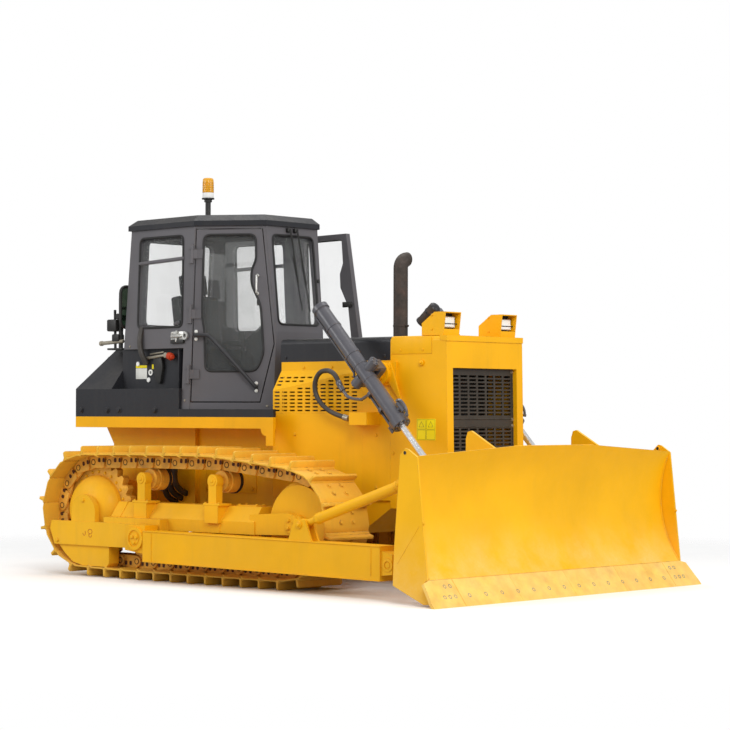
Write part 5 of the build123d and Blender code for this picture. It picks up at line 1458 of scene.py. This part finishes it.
@dataclass
class Beacon(Assembly):
    """Amber lamp on its pole, in place of the plain one."""

    slot: str = "beacon_amber"
    spot: Vector = field(default_factory=lambda: at(0.332, 0, 0))
    top: float = 3.47

    def build(self) -> None:
        """Replace the plain beacon."""
        spot, top = self.spot, self.top
        pole = [rod(spot + UP * 3.075, spot + UP * (top - 0.18), 0.024, 28),
                rod(spot + UP * (top - 0.19), spot + UP * (top - 0.178), 0.056, 40),
                rod(spot + UP * (top - 0.215), spot + UP * (top - 0.188), 0.034, 32)]
        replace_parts(self.add("beacon_pole", pole, "lamp_black"), "beacon")
        base = lathe([(0, 0), (0.048, 0), (0.05, 0.006), (0.0495, 0.046), (0, 0.046)],
                     spot + UP * (top - 0.178), UP, 40)
        self.add("beacon_base", base, "white_plastic")
        dome = [(0, 0), (0.05, 0), (0.0505, 0.006), (0.049, 0.09), (0.047, 0.118), (0.04, 0.128),
                (0.02, 0.132), (0, 0.132)]
        self.add("beacon_dome", lathe(dome, spot + UP * (top - 0.132), UP, 40), "amber_lens")
        ribs = [lathe([(0.047, 0), (0.0516, 0.002), (0.0516, 0.005), (0.047, 0.007)],
                      spot + UP * (top - 0.128 + 0.02 * number), UP) for number in range(5)]
        self.add("beacon_ribs", ribs, "amber_lens")


@dataclass
class Seat(Assembly):
    """The driver's seat: sewn cushions on a base, in place of the plain one."""

    slot: str = "seat_fabric"
    middle: float = 0.43
    lean: float = atan(80 / 530)

    def cushion(self, low: Vector, high: Vector, tuck: float, hinge: Vector | None = None) -> Piece:
        """Model one sewn cushion with welted edges and pulled seams.

        Args:
            low: One corner.
            high: The opposite corner.
            tuck: How deep its seams are pulled in.
            hinge: The point it leans back about, if it does.

        Returns:
            The cushion.
        """
        piece = block(low, high, 0)
        pick(piece)
        bpy.ops.object.mode_set(mode="EDIT")
        bpy.ops.mesh.select_all(action="SELECT")
        bpy.ops.mesh.subdivide(number_cuts=7)
        bpy.ops.object.mode_set(mode="OBJECT")
        modify(piece, "BEVEL", width=0.028, segments=3, limit_method="ANGLE", angle_limit=radians(50))
        centre, half = (low + high) / 2, (high - low) / 2
        flat = min(range(3), key=lambda axis: half[axis])
        wide = [axis for axis in range(3) if axis != flat]
        for vertex in piece.data.vertices:
            share = [(vertex.co[axis] - centre[axis]) / half[axis] for axis in range(3)]
            belly = (1 - share[wide[0]] ** 2) * (1 - share[wide[1]] ** 2)
            seam = max(exp(-((abs(share[1]) - 0.62) / 0.07) ** 2), 0.7 * exp(-(share[wide[0]] / 0.05) ** 2))
            rise = share[flat] * (0.014 * belly - tuck * seam * min(1.0, belly * 3))
            vertex.co[flat] += rise
        modify(piece, "SUBSURF", levels=1, render_levels=1)
        if hinge is not None:
            turn = Matrix.Rotation(-self.lean, 4, LEFT)
            piece.data.transform(Matrix.Translation(hinge) @ turn @ Matrix.Translation(-hinge))
        return piece

    def build(self) -> None:
        """Replace the plain seat."""
        x = self.middle
        hinge = at(x - 0.19, 0, 1.89)
        base = self.cushion(at(x - 0.25, -0.255, 1.765), at(x + 0.24, 0.255, 1.895), 0.012)
        back = self.cushion(at(x - 0.25, -0.235, 1.895), at(x - 0.13, 0.235, 2.425), 0.012, hinge)
        rest = self.cushion(at(x - 0.235, -0.13, 2.445), at(x - 0.14, 0.13, 2.62), 0.006, hinge)
        for name, piece in (("seat_cushion", base), ("seat_back", back), ("head_rest", rest)):
            self.add(name, piece, "seat_cloth")
        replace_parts(base, "seat")
        frame = [block(at(x - 0.18, -0.17, 1.66), at(x + 0.18, 0.17, 1.762), 0.01),
                 block(at(x - 0.235, -0.235, 1.742), at(x + 0.22, 0.235, 1.768), 0.008),
                 block(at(x - 0.2, -0.2, 1.655), at(x + 0.22, -0.17, 1.69), 0.004),
                 block(at(x - 0.2, 0.17, 1.655), at(x + 0.22, 0.2, 1.69), 0.004)]
        for side in (-1, 1):
            frame.append(rod(at(x - 0.205, side * 0.085, 2.38), at(x - 0.245, side * 0.085, 2.52), 0.008, 12))
            frame.append(rod(at(x - 0.155, side * 0.21, 1.9), at(x - 0.155, side * 0.285, 1.99), 0.016, 16))
        self.add("seat_frame", frame, "dash_plastic")
        arms = [block(at(x - 0.2, side * 0.264, 1.982), at(x + 0.2, side * 0.328, 2.038), 0.018)
                for side in (-1, 1)]
        self.add("seat_arms", arms, "dash_plastic")


@dataclass
class Controls(Assembly):
    """Dials, boots, pedals and a label on the dash."""

    slot: str = "dash_plastic"

    def build(self) -> None:
        """Make the controls."""
        lean = by(-0.34, 0, 0.94).normalized()
        faces = [rod(at(1.15, y, 2.06), at(1.15, y, 2.06) + lean * 0.02, 0.034, 28)
                 for y in (-0.13, -0.045, 0.04, 0.125)]
        self.add("dials", faces, "dial_face")
        rims = [lathe([(0.033, 0), (0.04, 0), (0.04, 0.024), (0.033, 0.024)], at(1.15, y, 2.06), lean, 28)
                for y in (-0.13, -0.045, 0.04, 0.125)]
        folds = [(0, 0), (0.042, 0), (0.04, 0.015), (0.03, 0.022), (0.032, 0.034), (0.022, 0.042),
                 (0.023, 0.052), (0.017, 0.06), (0, 0.06)]
        boots = [lathe(folds, at(0.955, y, 1.455), UP, 24) for y in (-0.15, 0.15)]
        pedals = [block(at(0.905, y - 0.05, 1.47), at(1.0, y + 0.05, 1.486), 0.006) for y in (-0.08, 0.08)]
        self.add("dash_fittings", rims + boots + pedals, "lamp_black")
        label = block(at(1.346, 0.02, 1.9), at(1.352, 0.2, 2.0), 0.001)
        self.add("dash_label", label, "label_white")


NODES: dict[str, Piece] = {}


def touch(name: str, source: Vector, way: Vector) -> tuple[Vector, Vector]:
    """Find where a line first meets a solid.

    Args:
        name: The solid's name.
        source: A point before it.
        way: The line's direction.

    Returns:
        The point and the way out of the face there.
    """
    node = NODES[name]
    back = node.matrix_world.inverted()
    hit, place, normal, _ = node.ray_cast(back @ source, (back.to_3x3() @ way).normalized())
    if not hit:
        raise ValueError(f"no face of {name} on the line from {tuple(source)}")
    return node.matrix_world @ place, (node.matrix_world.to_3x3() @ normal).normalized()


def from_side(name: str, x: float, z: float, side: int) -> tuple[Vector, Vector]:
    """Find a solid's outer face at a place seen from one side."""
    return touch(name, at(x, side * 3, z), by(0, -side, 0))


@dataclass
class Front(Assembly):
    """Trim of the hood, the side panels, the guard and the lamps."""

    def build(self) -> None:
        """Make the front's trim."""
        yellow, dark = [], []
        for side in (-1, 1):
            yellow += [from_side("side_panels", x, 1.768, side) for x in (1.955, 2.268)]
            yellow += [from_side("lower_panels", x, z, side) for x in (1.93, 2.75) for z in (0.8, 1.22)]
            yellow += [from_side("radiator_guard", x, 1.895, side) for x in (3.008, 3.24)]
            dark += [from_side("engine_hood", x, 1.85, side) for x in (1.75, 2.84)]
        self.bolt("panel_bolts", Bolt.PANEL, yellow, "yellow_enamel")
        self.bolt("hood_bolts", Bolt.PANEL, dark, "black_enamel", "dark_paint")
        self.build_guard()
        self.build_lever_plates()
        self.build_lamps()
        self.build_stack()
        self.build_grille()

    def build_guard(self) -> None:
        """Make the guard's cover strips, the boss on its side and the blank label."""
        pieces = []
        for side in (-1, 1):
            pieces.append(outline_plate([(2.915, 1.862), (3.33, 1.862), (3.33, 1.999), (2.915, 1.999)], 0.004,
                                        at(0, 0.482 if side > 0 else -0.478, 0), edge=0.002))
            boss = at(3.227, side * 0.478, 1.792)
            pieces.append(rod(boss, boss + by(0, side * 0.016, 0), 0.024, 20, 0.004))
            pieces.append(rod(boss, boss + by(0, side * 0.03, 0), 0.01, 12, 0.002))
            for height in (1.3, 1.08):
                spot = at(2.93, side * 0.478, height)
                pieces.append(rod(spot, spot + by(0, side * 0.006, 0), 0.014, 20))
        self.add("guard_trim", pieces, "yellow_enamel")
        label = block(at(3.177, -0.4805, 1.183), at(3.372, -0.478, 1.352), 0.001)
        self.add("guard_label", label, "label_yellow")
        lines = []
        for low, high in (((3.184, 1.271), (3.27, 1.345)), ((3.279, 1.271), (3.365, 1.345)),
                          ((3.184, 1.19), (3.27, 1.264)), ((3.279, 1.19), (3.365, 1.264))):
            corners = [at(x, -0.481, z) for x, z in (low, (high[0], low[1]), high, (low[0], high[1]))]
            lines.append(pipe(corners, 0.0011, closed=True, sides=0, straight=True))
        for middle in (3.227, 3.322):
            corners = [at(middle + x, -0.481, 1.288 + z) for x, z in ((-0.025, 0), (0.025, 0), (0, 0.042))]
            lines.append(pipe(corners, 0.0016, closed=True, sides=0, straight=True))
        self.add("guard_label_lines", lines, "lamp_black")

    def build_lever_plates(self) -> None:
        """Make the tapered plate that hangs on each side of the guard behind the lift cylinder."""
        shape = rounded([(2.845, 1.8), (2.935, 1.8), (2.97, 1.715), (3.05, 1.498), (3.036, 1.49),
                         (2.905, 1.655), (2.84, 1.715)], 0.012, 3)
        pieces = []
        for side in (-1, 1):
            pieces.append(outline_plate(shape, 0.016, at(0, 0.524 if side > 0 else -0.508, 0)))
            pieces.append(block(at(2.865, side * 0.477, 1.69), at(2.935, side * 0.512, 1.77)))
            pieces.append(block(at(2.88, side * 0.522, 1.725), at(2.94, side * 0.54, 1.785), 0.006))
        self.add("lever_plates", pieces, "yellow_enamel")

    def build_lamps(self) -> None:
        """Fill the lamp boxes."""
        housings, lenses, rims, heads = [], [], [], []
        for side in (-1, 1):
            y = side * 0.354
            housings.append(block(at(3.344, y - 0.069, 2.07), at(3.3955, y + 0.069, 2.1505), 0.006))
            housings.append(block(at(3.3536, y - 0.0893, 2.0565), at(3.3556, y + 0.0893, 2.1815), 0))
            housings.append(rod(at(3.405, y - 0.089, 2.098), at(3.405, y + 0.089, 2.098), 0.0035, 8, 0))
            lenses.append(block(at(3.394, y - 0.063, 2.073), at(3.402, y + 0.063, 2.148), 0.004))
            inner, outer = y - 0.067, y + 0.067
            rim = rounded([(inner, 2.07), (outer, 2.07), (outer, 2.151), (inner, 2.151)], 0.008, 3)
            rims.append(pipe([at(3.3975, *spot) for spot in rim], 0.004, closed=True, sides=1, straight=True))
            heads += [(at(3.31, y + edge * 0.0975, z), by(0, edge, 0))
                      for z in (2.165, 2.055) for edge in (-1, 1)]
        self.add("lamp_housings", housings, "lamp_black")
        self.add("lamp_lenses", lenses, "lamp_lens")
        self.add("lamp_rims", rims, "bright_steel")
        self.bolt("lamp_bolts", Bolt.SMALL, heads, "yellow_enamel")

    def build_stack(self) -> None:
        """Put the collars round the exhaust and the intake."""
        rings = [lathe([(0.0668, 0), (0.09, 0), (0.09, 0.004), (0.074, 0.012), (0.0668, 0.012)],
                       at(2.59, 0, 2.004), UP, 48),
                 lathe([(0.059, 0), (0.0625, 0.001), (0.0625, 0.017), (0.059, 0.018)],
                       at(2.59, 0, 2.1), UP, 48),
                 block(at(2.648, -0.012, 2.101), at(2.672, 0.012, 2.117), 0.003)]
        self.add("stack_collars", rings, "exhaust_metal", "exhaust_steel")
        top, mouth = at(3.126, -0.196, 2.241), at(2.985, -0.196, 2.118)
        lean = (mouth - top).normalized()
        cap = [lathe([(0.046, -0.016), (0.0525, -0.014), (0.0525, 0.001), (0.046, 0.003)], mouth, lean, 40),
               lathe([(0.047, 0), (0.051, 0.001), (0.051, 0.014), (0.047, 0.015)],
                     top + lean * 0.06, lean, 36),
               lathe([(0, -0.022), (0.02, -0.02), (0.038, -0.012), (0.048, 0.001), (0.047, 0.006),
                      (0, 0.006)], top, lean, 36),
               rod(top + lean * 0.067 + by(0, -0.046, 0), top + lean * 0.067 + by(0, -0.062, 0), 0.006, 10)]
        self.add("intake_rings", cap, "black_enamel", "exhaust_steel")
        grate = rod(mouth - lean * 0.001, mouth + lean * 0.0012, 0.044, 36, 0)
        self.add("intake_mouth", grate, "gasket_rubber", "exhaust_steel")
        crown, radius = 2.716, 0.0595
        lip = lathe([(0.0545, -0.004), (0.06, -0.004), (0.061, 0.0), (0.059, 0.0025), (0.0545, 0.0015)],
                    at(2.59, 0.075, crown - radius), LEFT, 44)
        self.add("exhaust_lip", lip, "exhaust_metal", "exhaust_steel")

    def build_grille(self) -> None:
        """Set the bolts and the frame strips of the grille."""
        heads = [touch("radiator_grille", at(5, y, z), -AHEAD) for y in (-0.385, 0.385)
                 for z in (0.722, 1.296, 1.345, 1.728)]
        self.bolt("grille_bolts", Bolt.PANEL, heads, "bolt_metal", "dark_paint")
        strips = []
        for low, high in ((0.7, 1.29), (1.35, 1.745)):
            corners = []
            for y, z in ((-0.392, low), (0.392, low), (0.392, high), (-0.392, high)):
                spot, _ = touch("radiator_grille", at(5, y, z), -AHEAD)
                corners.append(spot + by(0.002, 0, 0))
            strips.append(pipe(corners, 0.005, closed=True, sides=1, straight=True))
        self.add("grille_strips", strips, "grille_enamel", "dark_paint")


CYLINDER_ACROSS = by(-CYLINDER_ALONG.z, 0, CYLINDER_ALONG.x)


@dataclass
class LiftCylinders(Pair):
    """Bolts, bands, tubes and valves on both lift cylinders, and the pins' end plates on the blade."""

    @staticmethod
    def spot(side: int, ahead: float, off: float = 0.0, out: float = 0.0) -> Vector:
        """Give a place on a cylinder: ahead of its pivot, off to its upper side and out from the machine."""
        start = both(CYLINDER_START, side)
        return start + CYLINDER_ALONG * ahead + CYLINDER_ACROSS * off + by(0, side * out, 0)

    def around(self, side: int, ahead: float, radius: float, count: int, turn: float = 0.0) -> list[Vector]:
        """Give places round the barrel."""
        angles = (turn + tau * number / count for number in range(count))
        return [self.spot(side, ahead, radius * cos(angle), radius * sin(angle)) for angle in angles]

    def build_side(self, hand: str, side: int) -> None:
        """Dress one cylinder and its rod's pin."""
        body, spot = f"cylinder_{hand}", partial(self.spot, side)
        heads = [(point, CYLINDER_ALONG) for point in self.around(side, 0.56, 0.054, 8, 0.2)]
        heads += [(point, -CYLINDER_ALONG) for point in self.around(side, -0.727, 0.046, 6)]
        for end in (-1, 1):
            cap = spot(0, end * 0.138)
            heads += [(cap + CYLINDER_ALONG * one + by(0, two, 0), CYLINDER_ACROSS * end)
                      for one, two in ((-0.028, 0), (0.028, 0), (0, -0.028), (0, 0.028))]
        self.bolt(f"{hand}_cylinder_bolts", Bolt.PANEL, heads, "cylinder_enamel", "cylinder_paint", body)
        ring_profile = [(0.06, -0.005), (0.0645, -0.003), (0.0645, 0.003), (0.06, 0.005)]
        band_profile = [(0.06, -0.012), (0.065, -0.012), (0.065, 0.012), (0.06, 0.012)]
        pieces = [lathe(ring_profile, spot(ahead), CYLINDER_ALONG, 40)
                  for ahead in (-0.683, 0.486, -0.075, 0.075)]
        pieces += [lathe(band_profile, spot(ahead), CYLINDER_ALONG, 40) for ahead in (-0.5, -0.2)]
        for ahead in (-0.5, -0.2):
            pieces.append(rod(spot(ahead, -0.058), spot(ahead, -0.082), 0.012, 12))
        line = [spot(ahead, off) for ahead, off in ((-0.7, -0.05), (-0.69, -0.078), (-0.66, -0.082),
                                                    (-0.1, -0.082), (-0.07, -0.09), (-0.06, -0.11))]
        pieces.append(pipe(line, 0.01))
        pieces.append(lathe([(0.029, 0), (0.044, 0), (0.042, 0.01), (0.029, 0.012)],
                            spot(0.56), CYLINDER_ALONG, 40))
        valve = [rod(spot(0.4, 0.094), spot(0.5, 0.094), 0.022, 20, 0.004),
                 rod(spot(0.45, 0.06), spot(0.45, 0.1), 0.018, 18),
                 pipe([spot(ahead, off, 0.02) for ahead, off in
                       ((0.395, 0.1), (0.4, 0.13), (0.45, 0.142), (0.52, 0.132), (0.545, 0.105))], 0.011),
                 rod(spot(0.54, 0.112, 0.02), spot(0.552, 0.094, 0.02), 0.015, 16)]
        for number in range(4):
            ahead = 0.505 + number * 0.015
            valve.append(rod(spot(ahead, -0.07, 0.03), spot(ahead, -0.098, 0.03), 0.008, 10))
        self.add(f"{hand}_cylinder_trim", pieces + valve, "cylinder_enamel", "cylinder_paint", body)
        self.build_pins(hand, side)

    def build_pins(self, hand: str, side: int) -> None:
        """Close the rod's pin with its end plates."""
        pin = at(3.865, 0, 0.62)
        plates = [rod(pin + by(0, side * inner, 0), pin + by(0, side * outer, 0), 0.036, 28)
                  for inner, outer in ((0.63, 0.639), (0.804, 0.813))]
        self.add(f"{hand}_rod_pin", plates, "yellow_enamel", body="blade_frame")
        heads = ring(pin + by(0, side * 0.813, 0), 0.02, 2, by(0, side, 0))
        self.bolt(f"{hand}_rod_pin_bolts", Bolt.SMALL, heads, "bolt_metal", body="blade_frame")


HOSE_ROUTE = ((2.54, 0.578, 1.352), (2.423, 0.581, 1.377), (2.317, 0.586, 1.422), (2.242, 0.592, 1.48),
              (2.203, 0.598, 1.543), (2.193, 0.604, 1.608), (2.211, 0.61, 1.67), (2.252, 0.616, 1.716),
              (2.309, 0.621, 1.739), (2.369, 0.625, 1.735))


@dataclass
class Hoses(Pair):
    """The looped hose on each side, and its last run down to the cylinder."""

    slot: str = "hose_rubber"

    def build_side(self, hand: str, side: int) -> None:
        """Make one hose."""
        route = [at(x, side * y, z) for x, y, z in HOSE_ROUTE]
        hose = tube_curve(f"{hand}_hose", route, 0.02, sides=5, steps=12)
        hose.data.materials.append(MATERIALS["hose_rubber"])
        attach(hose, "chassis")
        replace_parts(hose, f"lift_hose_{hand}")
        self.build_run(hand, side)
        self.build_fittings(hand, side)

    def build_run(self, hand: str, side: int) -> None:
        """Make the bent run between the machine and the cylinder."""
        spots = ((2.35, 0.6235, 1.737), (2.369, 0.625, 1.735), (2.41, 0.628, 1.722), (2.45, 0.632, 1.695),
                 (2.48, 0.636, 1.655), (2.502, 0.64, 1.618), (2.512, 0.641, 1.608))
        run = join([pipe([both(at(*spot), side) for spot in spots], 0.0199, sides=5)], f"{hand}_hose_run")
        run.data.materials.clear()
        run.data.materials.append(MATERIALS["hose_rubber"])
        pick(run)
        bpy.ops.object.shade_smooth_by_angle(angle=radians(50))
        both(at(*spots[1]), side)
        both(at(*spots[5]), side)
        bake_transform(run)

    def build_fittings(self, hand: str, side: int) -> None:
        """Crimp the hose's ends."""
        box = [both(at(*spot), side) for spot in ((2.546, 0.578, 1.3505), (2.49, 0.579, 1.3625))]
        self.add(f"{hand}_box_fitting", rod(box[0], box[1], 0.025, 20, 0.003), "bolt_metal")
        end = [both(at(*spot), side) for spot in ((2.484, 0.637, 1.648), (2.514, 0.641, 1.604))]
        self.add(f"{hand}_tube_fitting", rod(end[0], end[1], 0.026, 6, 0.003), "cylinder_enamel",
                 body=f"cylinder_{hand}")


# The blade and its arms

FACE_CORNERS = ((4.245, 0.192), (4.15, 1.085))
FACE_SAGITTA = 0.13


def face_x(height: float, behind: float = 0.0) -> float:
    """Give how far ahead of the axle the blade's hollow face lies at a height."""
    (low_x, low_z), (top_x, top_z) = FACE_CORNERS
    run_x, run_z = low_x - top_x, low_z - top_z
    chord = hypot(run_x, run_z)
    radius = (chord ** 2 / 4 + FACE_SAGITTA ** 2) / (2 * FACE_SAGITTA)
    middle_x = (low_x + top_x) / 2 - run_z / chord * (radius - FACE_SAGITTA)
    middle_z = (low_z + top_z) / 2 + run_x / chord * (radius - FACE_SAGITTA)
    return middle_x - sqrt((radius + behind) ** 2 - (height - middle_z) ** 2)


@dataclass
class Blade(Assembly):
    """Edge bolts, seams, welds and eyes of the blade."""

    body: str = "blade_frame"
    edge_top: Vector = field(default_factory=lambda: at(4.245, 0, 0.192))
    edge_run: Vector = field(default_factory=lambda: by(0.145, 0, -0.192).normalized())
    edge_out: Vector = field(default_factory=lambda: by(0.192, 0, 0.145).normalized())

    def on_edge(self, y: float, down: float, out: float = 0.0) -> Vector:
        """Give a place on the sloping edge."""
        return self.edge_top + self.edge_run * down + self.edge_out * out + by(0, y, 0)

    def build(self) -> None:
        """Make the blade's trim."""
        self.build_edge()
        self.build_seams()
        self.build_eyes()

    def build_edge(self) -> None:
        """Set the plough bolts of the edge and the end bits."""
        spots = [(-1.235 + number * 0.19, 0.15) for number in range(14)]
        spots += [(side * y, down) for side in (-1, 1) for y, down in
                  ((1.395, 0.06), (1.455, 0.06), (1.395, 0.15), (1.455, 0.15), (1.515, 0.15))]
        master = lathe([(0, -0.002), (0.0165, -0.002), (0.0165, 0.0008), (0.0125, 0.0016), (0.01, -0.0005),
                        (0, -0.0005)], by(0, 0, 0), UP, 20)
        heads = repeat(master, [turned(self.on_edge(y, down), self.edge_out) for y, down in spots])
        self.add("edge_bolts", heads, "bolt_metal", "edge_steel")
        seams = []
        for y in (-0.665, 0.0, 0.665):
            seams.append(rod(self.on_edge(y, 0.004, -0.001), self.on_edge(y, 0.236, -0.001), 0.0022, 6, 0))
        seams.append(rod(self.on_edge(-1.33, 0), self.on_edge(1.33, 0), 0.003, 6, 0))
        for y in (-1.334, 1.334):
            seams.append(rod(self.on_edge(y, 0), self.on_edge(y, 0.236), 0.003, 6, 0))
        self.add("edge_seams", seams, "link_metal", "edge_steel")

    def build_seams(self) -> None:
        """Lay the welds along the side plates, the cover strip on the top box and the stops."""
        pieces = []
        for side in (-1, 1):
            heights = [0.2 + step * 0.044 for step in range(20)]
            line = [at(face_x(height) + 0.002, side * 1.58, height) for height in heights]
            pieces.append(pipe(line, 0.006, sides=2))
            pieces.append(rod(at(4.196, side * 1.595, 0.6), at(4.212, side * 1.595, 0.6), 0.01, 12))
            pieces.append(rod(at(3.96, side * 1.6075, 0.3), at(4.17, side * 1.6075, 0.58), 0.0018, 6, 0))
            for inner in (0.652, 0.678, 0.765, 0.791):
                foot = at(face_x(0.36, 0.024) - 0.086, side * inner, 0.4)
                pieces.append(rod(foot, foot + by(0, 0, 0.24), 0.006, 8, 0))
        left, right = (at(face_x(1.145) - 0.012, y, 1.149) for y in (0.5, -0.5))
        pieces.append(rod(right, left, 0.004, 8, 0))
        self.add("blade_welds", pieces, "blade_enamel")

    def build_eyes(self) -> None:
        """Plug the lifting holes in the side plates with dark discs as painted shade, and rig the thin rods
        behind the right one.
        """
        # Dark discs fill the lifting holes: painted shade where one would look into the blade.
        discs = []
        for side in (-1, 1):
            hole = at(4.032, side * 1.5815, 1.108)
            discs.append(rod(hole, hole + by(0, side * 0.0265, 0), 0.013, 20, 0))
        self.add("blade_holes", discs, "gasket_rubber")
        rims = [lathe([(0.013, -0.0005), (0.017, -0.0005), (0.017, 0.0275), (0.013, 0.0275)],
                      at(4.032, side * 1.5812, 1.108), by(0, side, 0), 24) for side in (-1, 1)]
        rods = [rod(at(3.842, -1.3, 0.84), at(3.9, -1.3, 0.42), 0.009, 12),
                rod(at(3.81, -1.3, 0.64), at(3.93, -1.3, 0.64), 0.008, 12)]
        self.add("blade_rims", rims + rods, "blade_enamel")


@dataclass
class Arms(Pair):
    """Flanges, caps and pins of the push arms and the braces."""

    body: str = "blade_frame"

    def build_side(self, hand: str, side: int) -> None:
        """Dress one arm."""
        out = by(0, side, 0)
        flange = [(0.998, 0.4195), (3.592, 0.3975), (3.592, 0.4055), (0.998, 0.4275)]
        foot = [(0.998, 0.1725), (3.592, 0.1405), (3.592, 0.1485), (0.998, 0.1805)]
        start = at(0, 1.386 if side > 0 else -1.209, 0)
        pieces = [outline_plate(shape, 0.177, start, edge=0.002) for shape in (flange, foot)]
        pieces.append(lathe([(0.07, 0), (0.0935, 0), (0.0935, 0.008), (0.07, 0.01)],
                            at(0.9, side * 1.3775, 0.36), out, 48))
        pieces.append(rod(at(0.9, side * 1.377, 0.36), at(0.9, side * 1.384, 0.36), 0.05, 40))
        pieces.append(lathe([(0.03, 0), (0.05, 0), (0.05, 0.006), (0.03, 0.008)],
                            at(3.655, side * 1.3645, 0.265), out, 36))
        pieces.append(rod(at(3.655, side * 1.364, 0.265), at(3.655, side * 1.37, 0.265), 0.022, 24))
        brace_pins = ((2.76, 0.535, 1.379), (3.79, 0.87, 1.4))
        for x, z, y in brace_pins:
            pieces.append(rod(at(x, side * (y - 0.001), z), at(x, side * (y + 0.01), z), 0.03, 28))
        rear, front = at(2.76, side * 1.33, 0.535), at(3.79, side * 1.33, 0.87)
        line = (front - rear).normalized()
        pieces.append(rod(rear + line * 0.15, rear + line * 0.192, 0.046, 6, 0.003))
        pieces.append(lathe([(0.041, -0.006), (0.046, 0), (0.041, 0.006)], front - line * 0.075, line, 32))
        pieces.append(rod(rear + line * 0.36 + by(0, 0, 0.038), rear + line * 0.36 + by(0, 0, 0.056),
                          0.007, 10))
        for x in (1.1, 3.5):
            edge = 0.42 - (x - 0.995) * 0.0085
            pieces.append(pipe([at(x, side * 1.3815, edge - 0.01), at(x, side * 1.3815, 0.18)], 0.004,
                               straight=True, sides=1))
        self.add(f"{hand}_arm_trim", pieces, "yellow_enamel")
        heads = ring(at(0.9, side * 1.384, 0.36), 0.03, 3, out, 0.5)
        heads += [(at(x, side * (y + 0.01), z), out) for x, z, y in brace_pins]
        self.bolt(f"{hand}_arm_bolts", Bolt.MEDIUM, heads, "yellow_enamel")


@dataclass
class Rear(Assembly):
    """Bolts, lamps, caps and covers at the back and on the hull."""

    def build(self) -> None:
        """Make the rear's trim."""
        back = -AHEAD
        heads = [(at(-0.45, y, z), back) for y in (-0.14, 0.14) for z in (0.45, 0.67)]
        heads += [touch("main_frame", at(-3, y, z), AHEAD) for y in (-0.42, 0.42) for z in (0.62, 0.85, 1.05)]
        self.bolt("rear_bolts", Bolt.LARGE, heads, "yellow_enamel")
        cover = [block(at(-0.352, -0.3, 0.76), at(-0.333, 0.3, 1.02), 0.006),
                 rod(at(-0.37, 0, 0.89), at(-0.34, 0, 0.89), 0.03, 24)]
        self.add("rear_cover", cover, "yellow_enamel")
        lamps = [rod(at(-0.618, y, 1.49), at(-0.594, y, 1.49), 0.052, 32, 0.006) for y in (-0.62, 0.62)]
        self.add("tail_lamps", lamps, "lamp_black", "cab_paint")
        lenses = [rod(at(-0.624, y, 1.49), at(-0.616, y, 1.49), 0.043, 32, 0.003) for y in (-0.62, 0.62)]
        self.add("tail_lenses", lenses, "tail_red", "cab_paint")
        cap = [rod(at(-0.25, 0.25, 1.958), at(-0.25, 0.25, 1.985), 0.055, 32),
               lathe([(0, 0), (0.064, 0), (0.064, 0.022), (0.05, 0.03), (0, 0.032)], at(-0.25, 0.25, 1.983),
                     UP, 32)]
        self.add("tank_cap", cap, "black_enamel", "cab_paint")
        handles = [pipe([at(-0.47, y, 1.8), at(-0.53, y, 1.83), at(-0.49, y, 1.9), at(-0.42, y, 1.885)], 0.01)
                   for y in (-0.42, 0.42)]
        self.add("tank_handles", handles, "charcoal_enamel", "cab_paint")
        covers, small = [], []
        for side in (-1, 1):
            covers.append(block(at(0.8, side * 0.459, 0.72), at(1.4, side * 0.468, 1.06), 0.004))
            small += [(at(x, side * 0.468, z), by(0, side, 0))
                      for x in (0.84, 1.1, 1.36) for z in (0.76, 1.02)]
        self.add("hull_covers", covers, "yellow_enamel")
        self.bolt("hull_bolts", Bolt.MEDIUM, small, "yellow_enamel")


ASSEMBLIES = (TrackChain, RunningGear, RearBox, Cab, Door, Beacon, Seat, Controls, Front, LiftCylinders,
              Hoses, Blade, Arms, Rear)


# Which finish each kept solid wears, by its name or by the name that a left and a right one share
WORN = {
    "yellow_enamel": ("cross_members", "drawbar", "floor_platform", "front_lamps", "main_frame", "hose_boxes",
                      "lower_panels", "side_panels", "radiator_guard", "cylinder_brackets", "push_arm",
                      "blade_braces"),
    "blade_enamel": ("blade",),
    "running_enamel": ("idlers", "final_drives", "track_frame"),
    "cab_enamel": ("cab_shell", "door"),
    "charcoal_enamel": ("rear_body", "fuel_tank"),
    "black_enamel": ("cab_roof", "cab_sill", "engine_hood"),
    "cylinder_enamel": ("lift_cylinder",),
    "rod_chrome": ("lift_rod",),
    "edge_metal": ("cutting_edge",),
    "roller_metal": ("track_rollers", "carrier_rollers", "sprockets"),
    "window_glass": ("cab_glass", "door_glass_left"),
    "door_window_glass": ("door_glass_right",),
    "dash_plastic": ("console",),
    "grille_enamel": ("radiator_grille",),
    "exhaust_metal": ("exhaust_pipe", "intake_cap"),
    "core_metal": ("radiator_core",),
    "engine_iron": ("engine_block",),
}


def wear(nodes: dict[str, Piece]) -> None:
    """Put this scene's finishes on the solids that stay."""
    for finish, names in WORN.items():
        for node in nodes:
            if node in names or node.removesuffix("_left").removesuffix("_right") in names:
                for place in nodes[node].material_slots:
                    place.material = MATERIALS[finish]


def main() -> None:
    """Load the frame, put up the stage and dress the machine."""
    logging.basicConfig(level=logging.INFO, format="%(name)s: %(message)s")
    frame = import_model()
    build_finishes()
    NODES.update(frame["nodes"])
    wear(NODES)
    bpy.context.scene.view_settings.view_transform = "Standard"
    Stage().build()
    for assembly in ASSEMBLIES:
        assembly().build()


if __name__ == "__main__":
    main()
